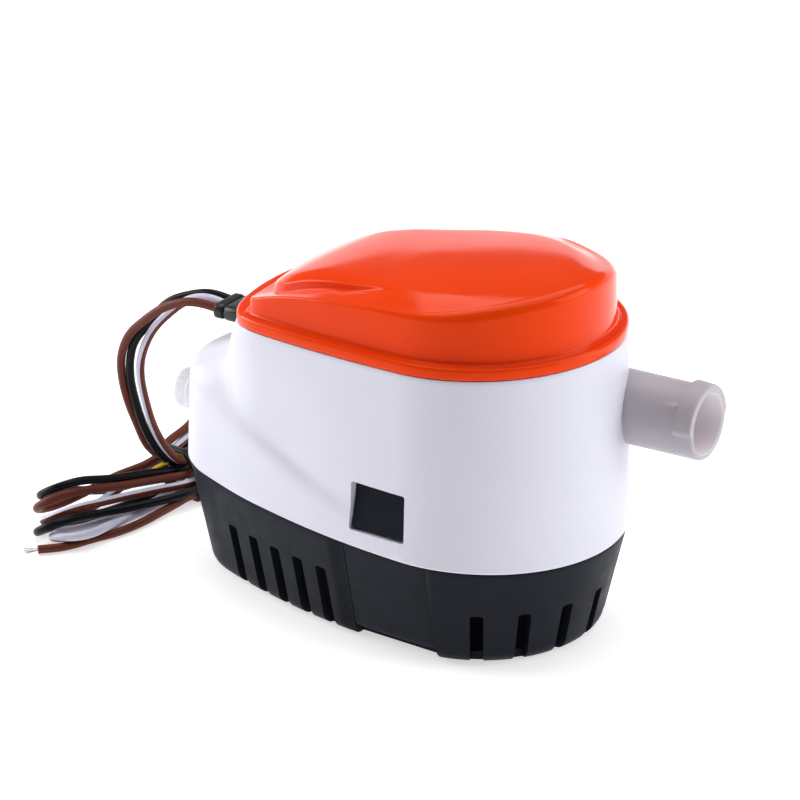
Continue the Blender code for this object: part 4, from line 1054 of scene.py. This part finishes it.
rings = [knob_ring(KX0 + 0.35, 1.2), knob_ring(KX0 + 0.3, 3.6), knob_ring(KX0, 4.0), knob_ring(KX0, 4.35)]
for a in (20, 45, 70):
    c = math.radians(a)
    rings.append(knob_ring(KX0 + 0.9 * (1 - math.cos(c)), 4.6 + 0.85 * math.sin(c)))
for x in (0.9, 1.05, 1.3, 2.2, 3.2, 3.9, 4.1, 4.25):
    g = min(1.0, max(0.0, (x - 0.9) / 0.3)) * min(1.0, max(0.0, (4.25 - x) / 0.25))
    rings.append(knob_ring(KX0 + x, 5.6 + 0.16 * ribs * g + (0.0 if g else 0.05)))
rings += [knob_ring(KX0 + 4.4, 5.75), knob_ring(KX0 + 4.9, 5.8), knob_ring(KX0 + 5.2, 5.7), knob_ring(KX0 + 5.35, 5.4),
          knob_ring(KX0 + 5.4, 4.65), knob_ring(-90.3, 4.6), knob_ring(-90.2, 4.5), knob_ring(-90.2, 4.2), knob_ring(-91.4, 4.15),
          knob_ring(-91.4, 2.4), knob_ring(KX0 + 13.7, 2.4)]
v, f = skin(rings, cap0=True, cap1=True)
# the knob wears the brightened copy of the white plastic: painted light
make("test_knob_v", v, f, "knob", [KNOB_PAINTED_LIGHT], ("test_knob",), sharp=45.0)


# ------------------------------------------------------------------------------ cable gland
def rrect(x, hy, hz, r, k=6, z0=72.2):
    pts = []
    for cy, cz, s in ((hy - r, hz - r, 0), (-(hy - r), hz - r, 90), (-(hy - r), -(hz - r), 180), (hy - r, -(hz - r), 270)):
        for i in range(k + 1):
            a = math.radians(s + 90 * i / k)
            pts.append((x, cy + r * math.cos(a), z0 + cz + r * math.sin(a)))
    return np.array(pts)


GX = -82.6
rings = [rrect(GX + 1.2, 4.9, 1.3, 1.0), rrect(GX + 1.1, 5.1, 1.4, 1.1), rrect(GX + 0.2, 5.15, 1.45, 1.2)]
for a in (0, 30, 60, 90):
    c = math.radians(a)
    rings.append(rrect(GX + 0.5 * (1 - math.cos(c)), 5.6 + 0.45 * math.sin(c), 1.75 + 0.4 * math.sin(c), 1.7))
rings += [rrect(GX + 2.4, 6.05, 2.15, 1.7), rrect(GX + 2.8, 5.9, 2.0, 1.7), rrect(GX + 2.95, 5.5, 1.65, 1.5),
          rrect(GX + 3.4, 5.45, 1.6, 1.5), rrect(GX + 3.55, 5.85, 1.95, 1.6), rrect(GX + 3.9, 6.05, 2.2, 1.7),
          rrect(-72.0, 6.1, 2.25, 1.7), rrect(-68.5, 5.2, 1.7, 1.2)]
v, f = skin(rings, cap0=True, cap1=True)
make("gland_v", v, f, "pump", [GLANDM], ("cable_gland",), sharp=40.0)

# ------------------------------------------------------------------------------ floor and light
bm = bmesh.new()
bmesh.ops.create_grid(bm, x_segments=8, y_segments=8, size=3.0)
me = bpy.data.meshes.new("floor")
bm.to_mesh(me)
bm.free()
floor = bpy.data.objects.new("floor", me)
scene.collection.objects.link(floor)
floor.location.z = -0.0002
floor_mat = surface("floor_white", (0.80, 0.80, 0.80), 0.75, 0.01, 6.0, 0.03, 200.0, 0.0)
lit = floor_mat.node_tree.nodes["Principled BSDF"]    # pale sheet, lit a little from below
lit.inputs["Emission Color"].default_value, lit.inputs["Emission Strength"].default_value = (1.0, 1.0, 1.0, 1.0), 0.58
me.materials.append(floor_mat)

world = bpy.data.worlds.new("studio")
scene.world = world
world.use_nodes = True
wt = world.node_tree
bg = wt.nodes["Background"]
tc = wt.nodes.new("ShaderNodeTexCoord")
sep = wt.nodes.new("ShaderNodeSeparateXYZ")
wt.links.new(tc.outputs["Generated"], sep.inputs["Vector"])
rise = wt.nodes.new("ShaderNodeValToRGB")             # pale backdrop behind, dim room above
rise.color_ramp.elements[0].position, rise.color_ramp.elements[0].color = 0.19, (0.95, 0.93, 0.98, 1)
rise.color_ramp.elements[1].position, rise.color_ramp.elements[1].color = 0.235, (0.12, 0.12, 0.13, 1)
wt.links.new(sep.outputs["Z"], rise.inputs["Fac"])
dot = wt.nodes.new("ShaderNodeVectorMath")
dot.operation = "DOT_PRODUCT"
dot.inputs[1].default_value = (-math.sin(AZ), math.cos(AZ), 0.0)
wt.links.new(tc.outputs["Generated"], dot.inputs[0])
behind = wt.nodes.new("ShaderNodeMapRange")
behind.interpolation_type = "SMOOTHSTEP"
behind.inputs["From Min"].default_value, behind.inputs["From Max"].default_value = -0.25, 0.25
wt.links.new(dot.outputs["Value"], behind.inputs["Value"])
mixw = wt.nodes.new("ShaderNodeMix")
mixw.data_type = "RGBA"
mixw.inputs["A"].default_value = (0.07, 0.07, 0.075, 1.0)
wt.links.new(behind.outputs["Result"], mixw.inputs["Factor"])
wt.links.new(rise.outputs["Color"], mixw.inputs["B"])
wt.links.new(mixw.outputs["Result"], bg.inputs["Color"])
bg.inputs["Strength"].default_value = 1.0


def area(name, at, to, w, h, power, color=(1, 1, 1)):
    d = bpy.data.lights.new(name, "AREA")
    d.shape, d.size, d.size_y, d.energy, d.color = "RECTANGLE", w, h, power, color
    o = bpy.data.objects.new(name, d)
    scene.collection.objects.link(o)
    o.location = at
    o.rotation_euler = (Vector(to) - Vector(at)).to_track_quat("-Z", "Y").to_euler()
    return o


area("top_box", (-0.05, 0.38, 1.45), (0, 0.18, 0.0), 1.8, 1.5, 19.8)
area("right_box", (1.00, 0.40, 0.45), (0, 0, 0.05), 0.7, 0.7, 5.6)
area("left_box", (-1.10, -0.22, 0.45), (0, 0, 0.05), 0.7, 0.7, 9.3)

scene.view_settings.view_transform = "Standard"
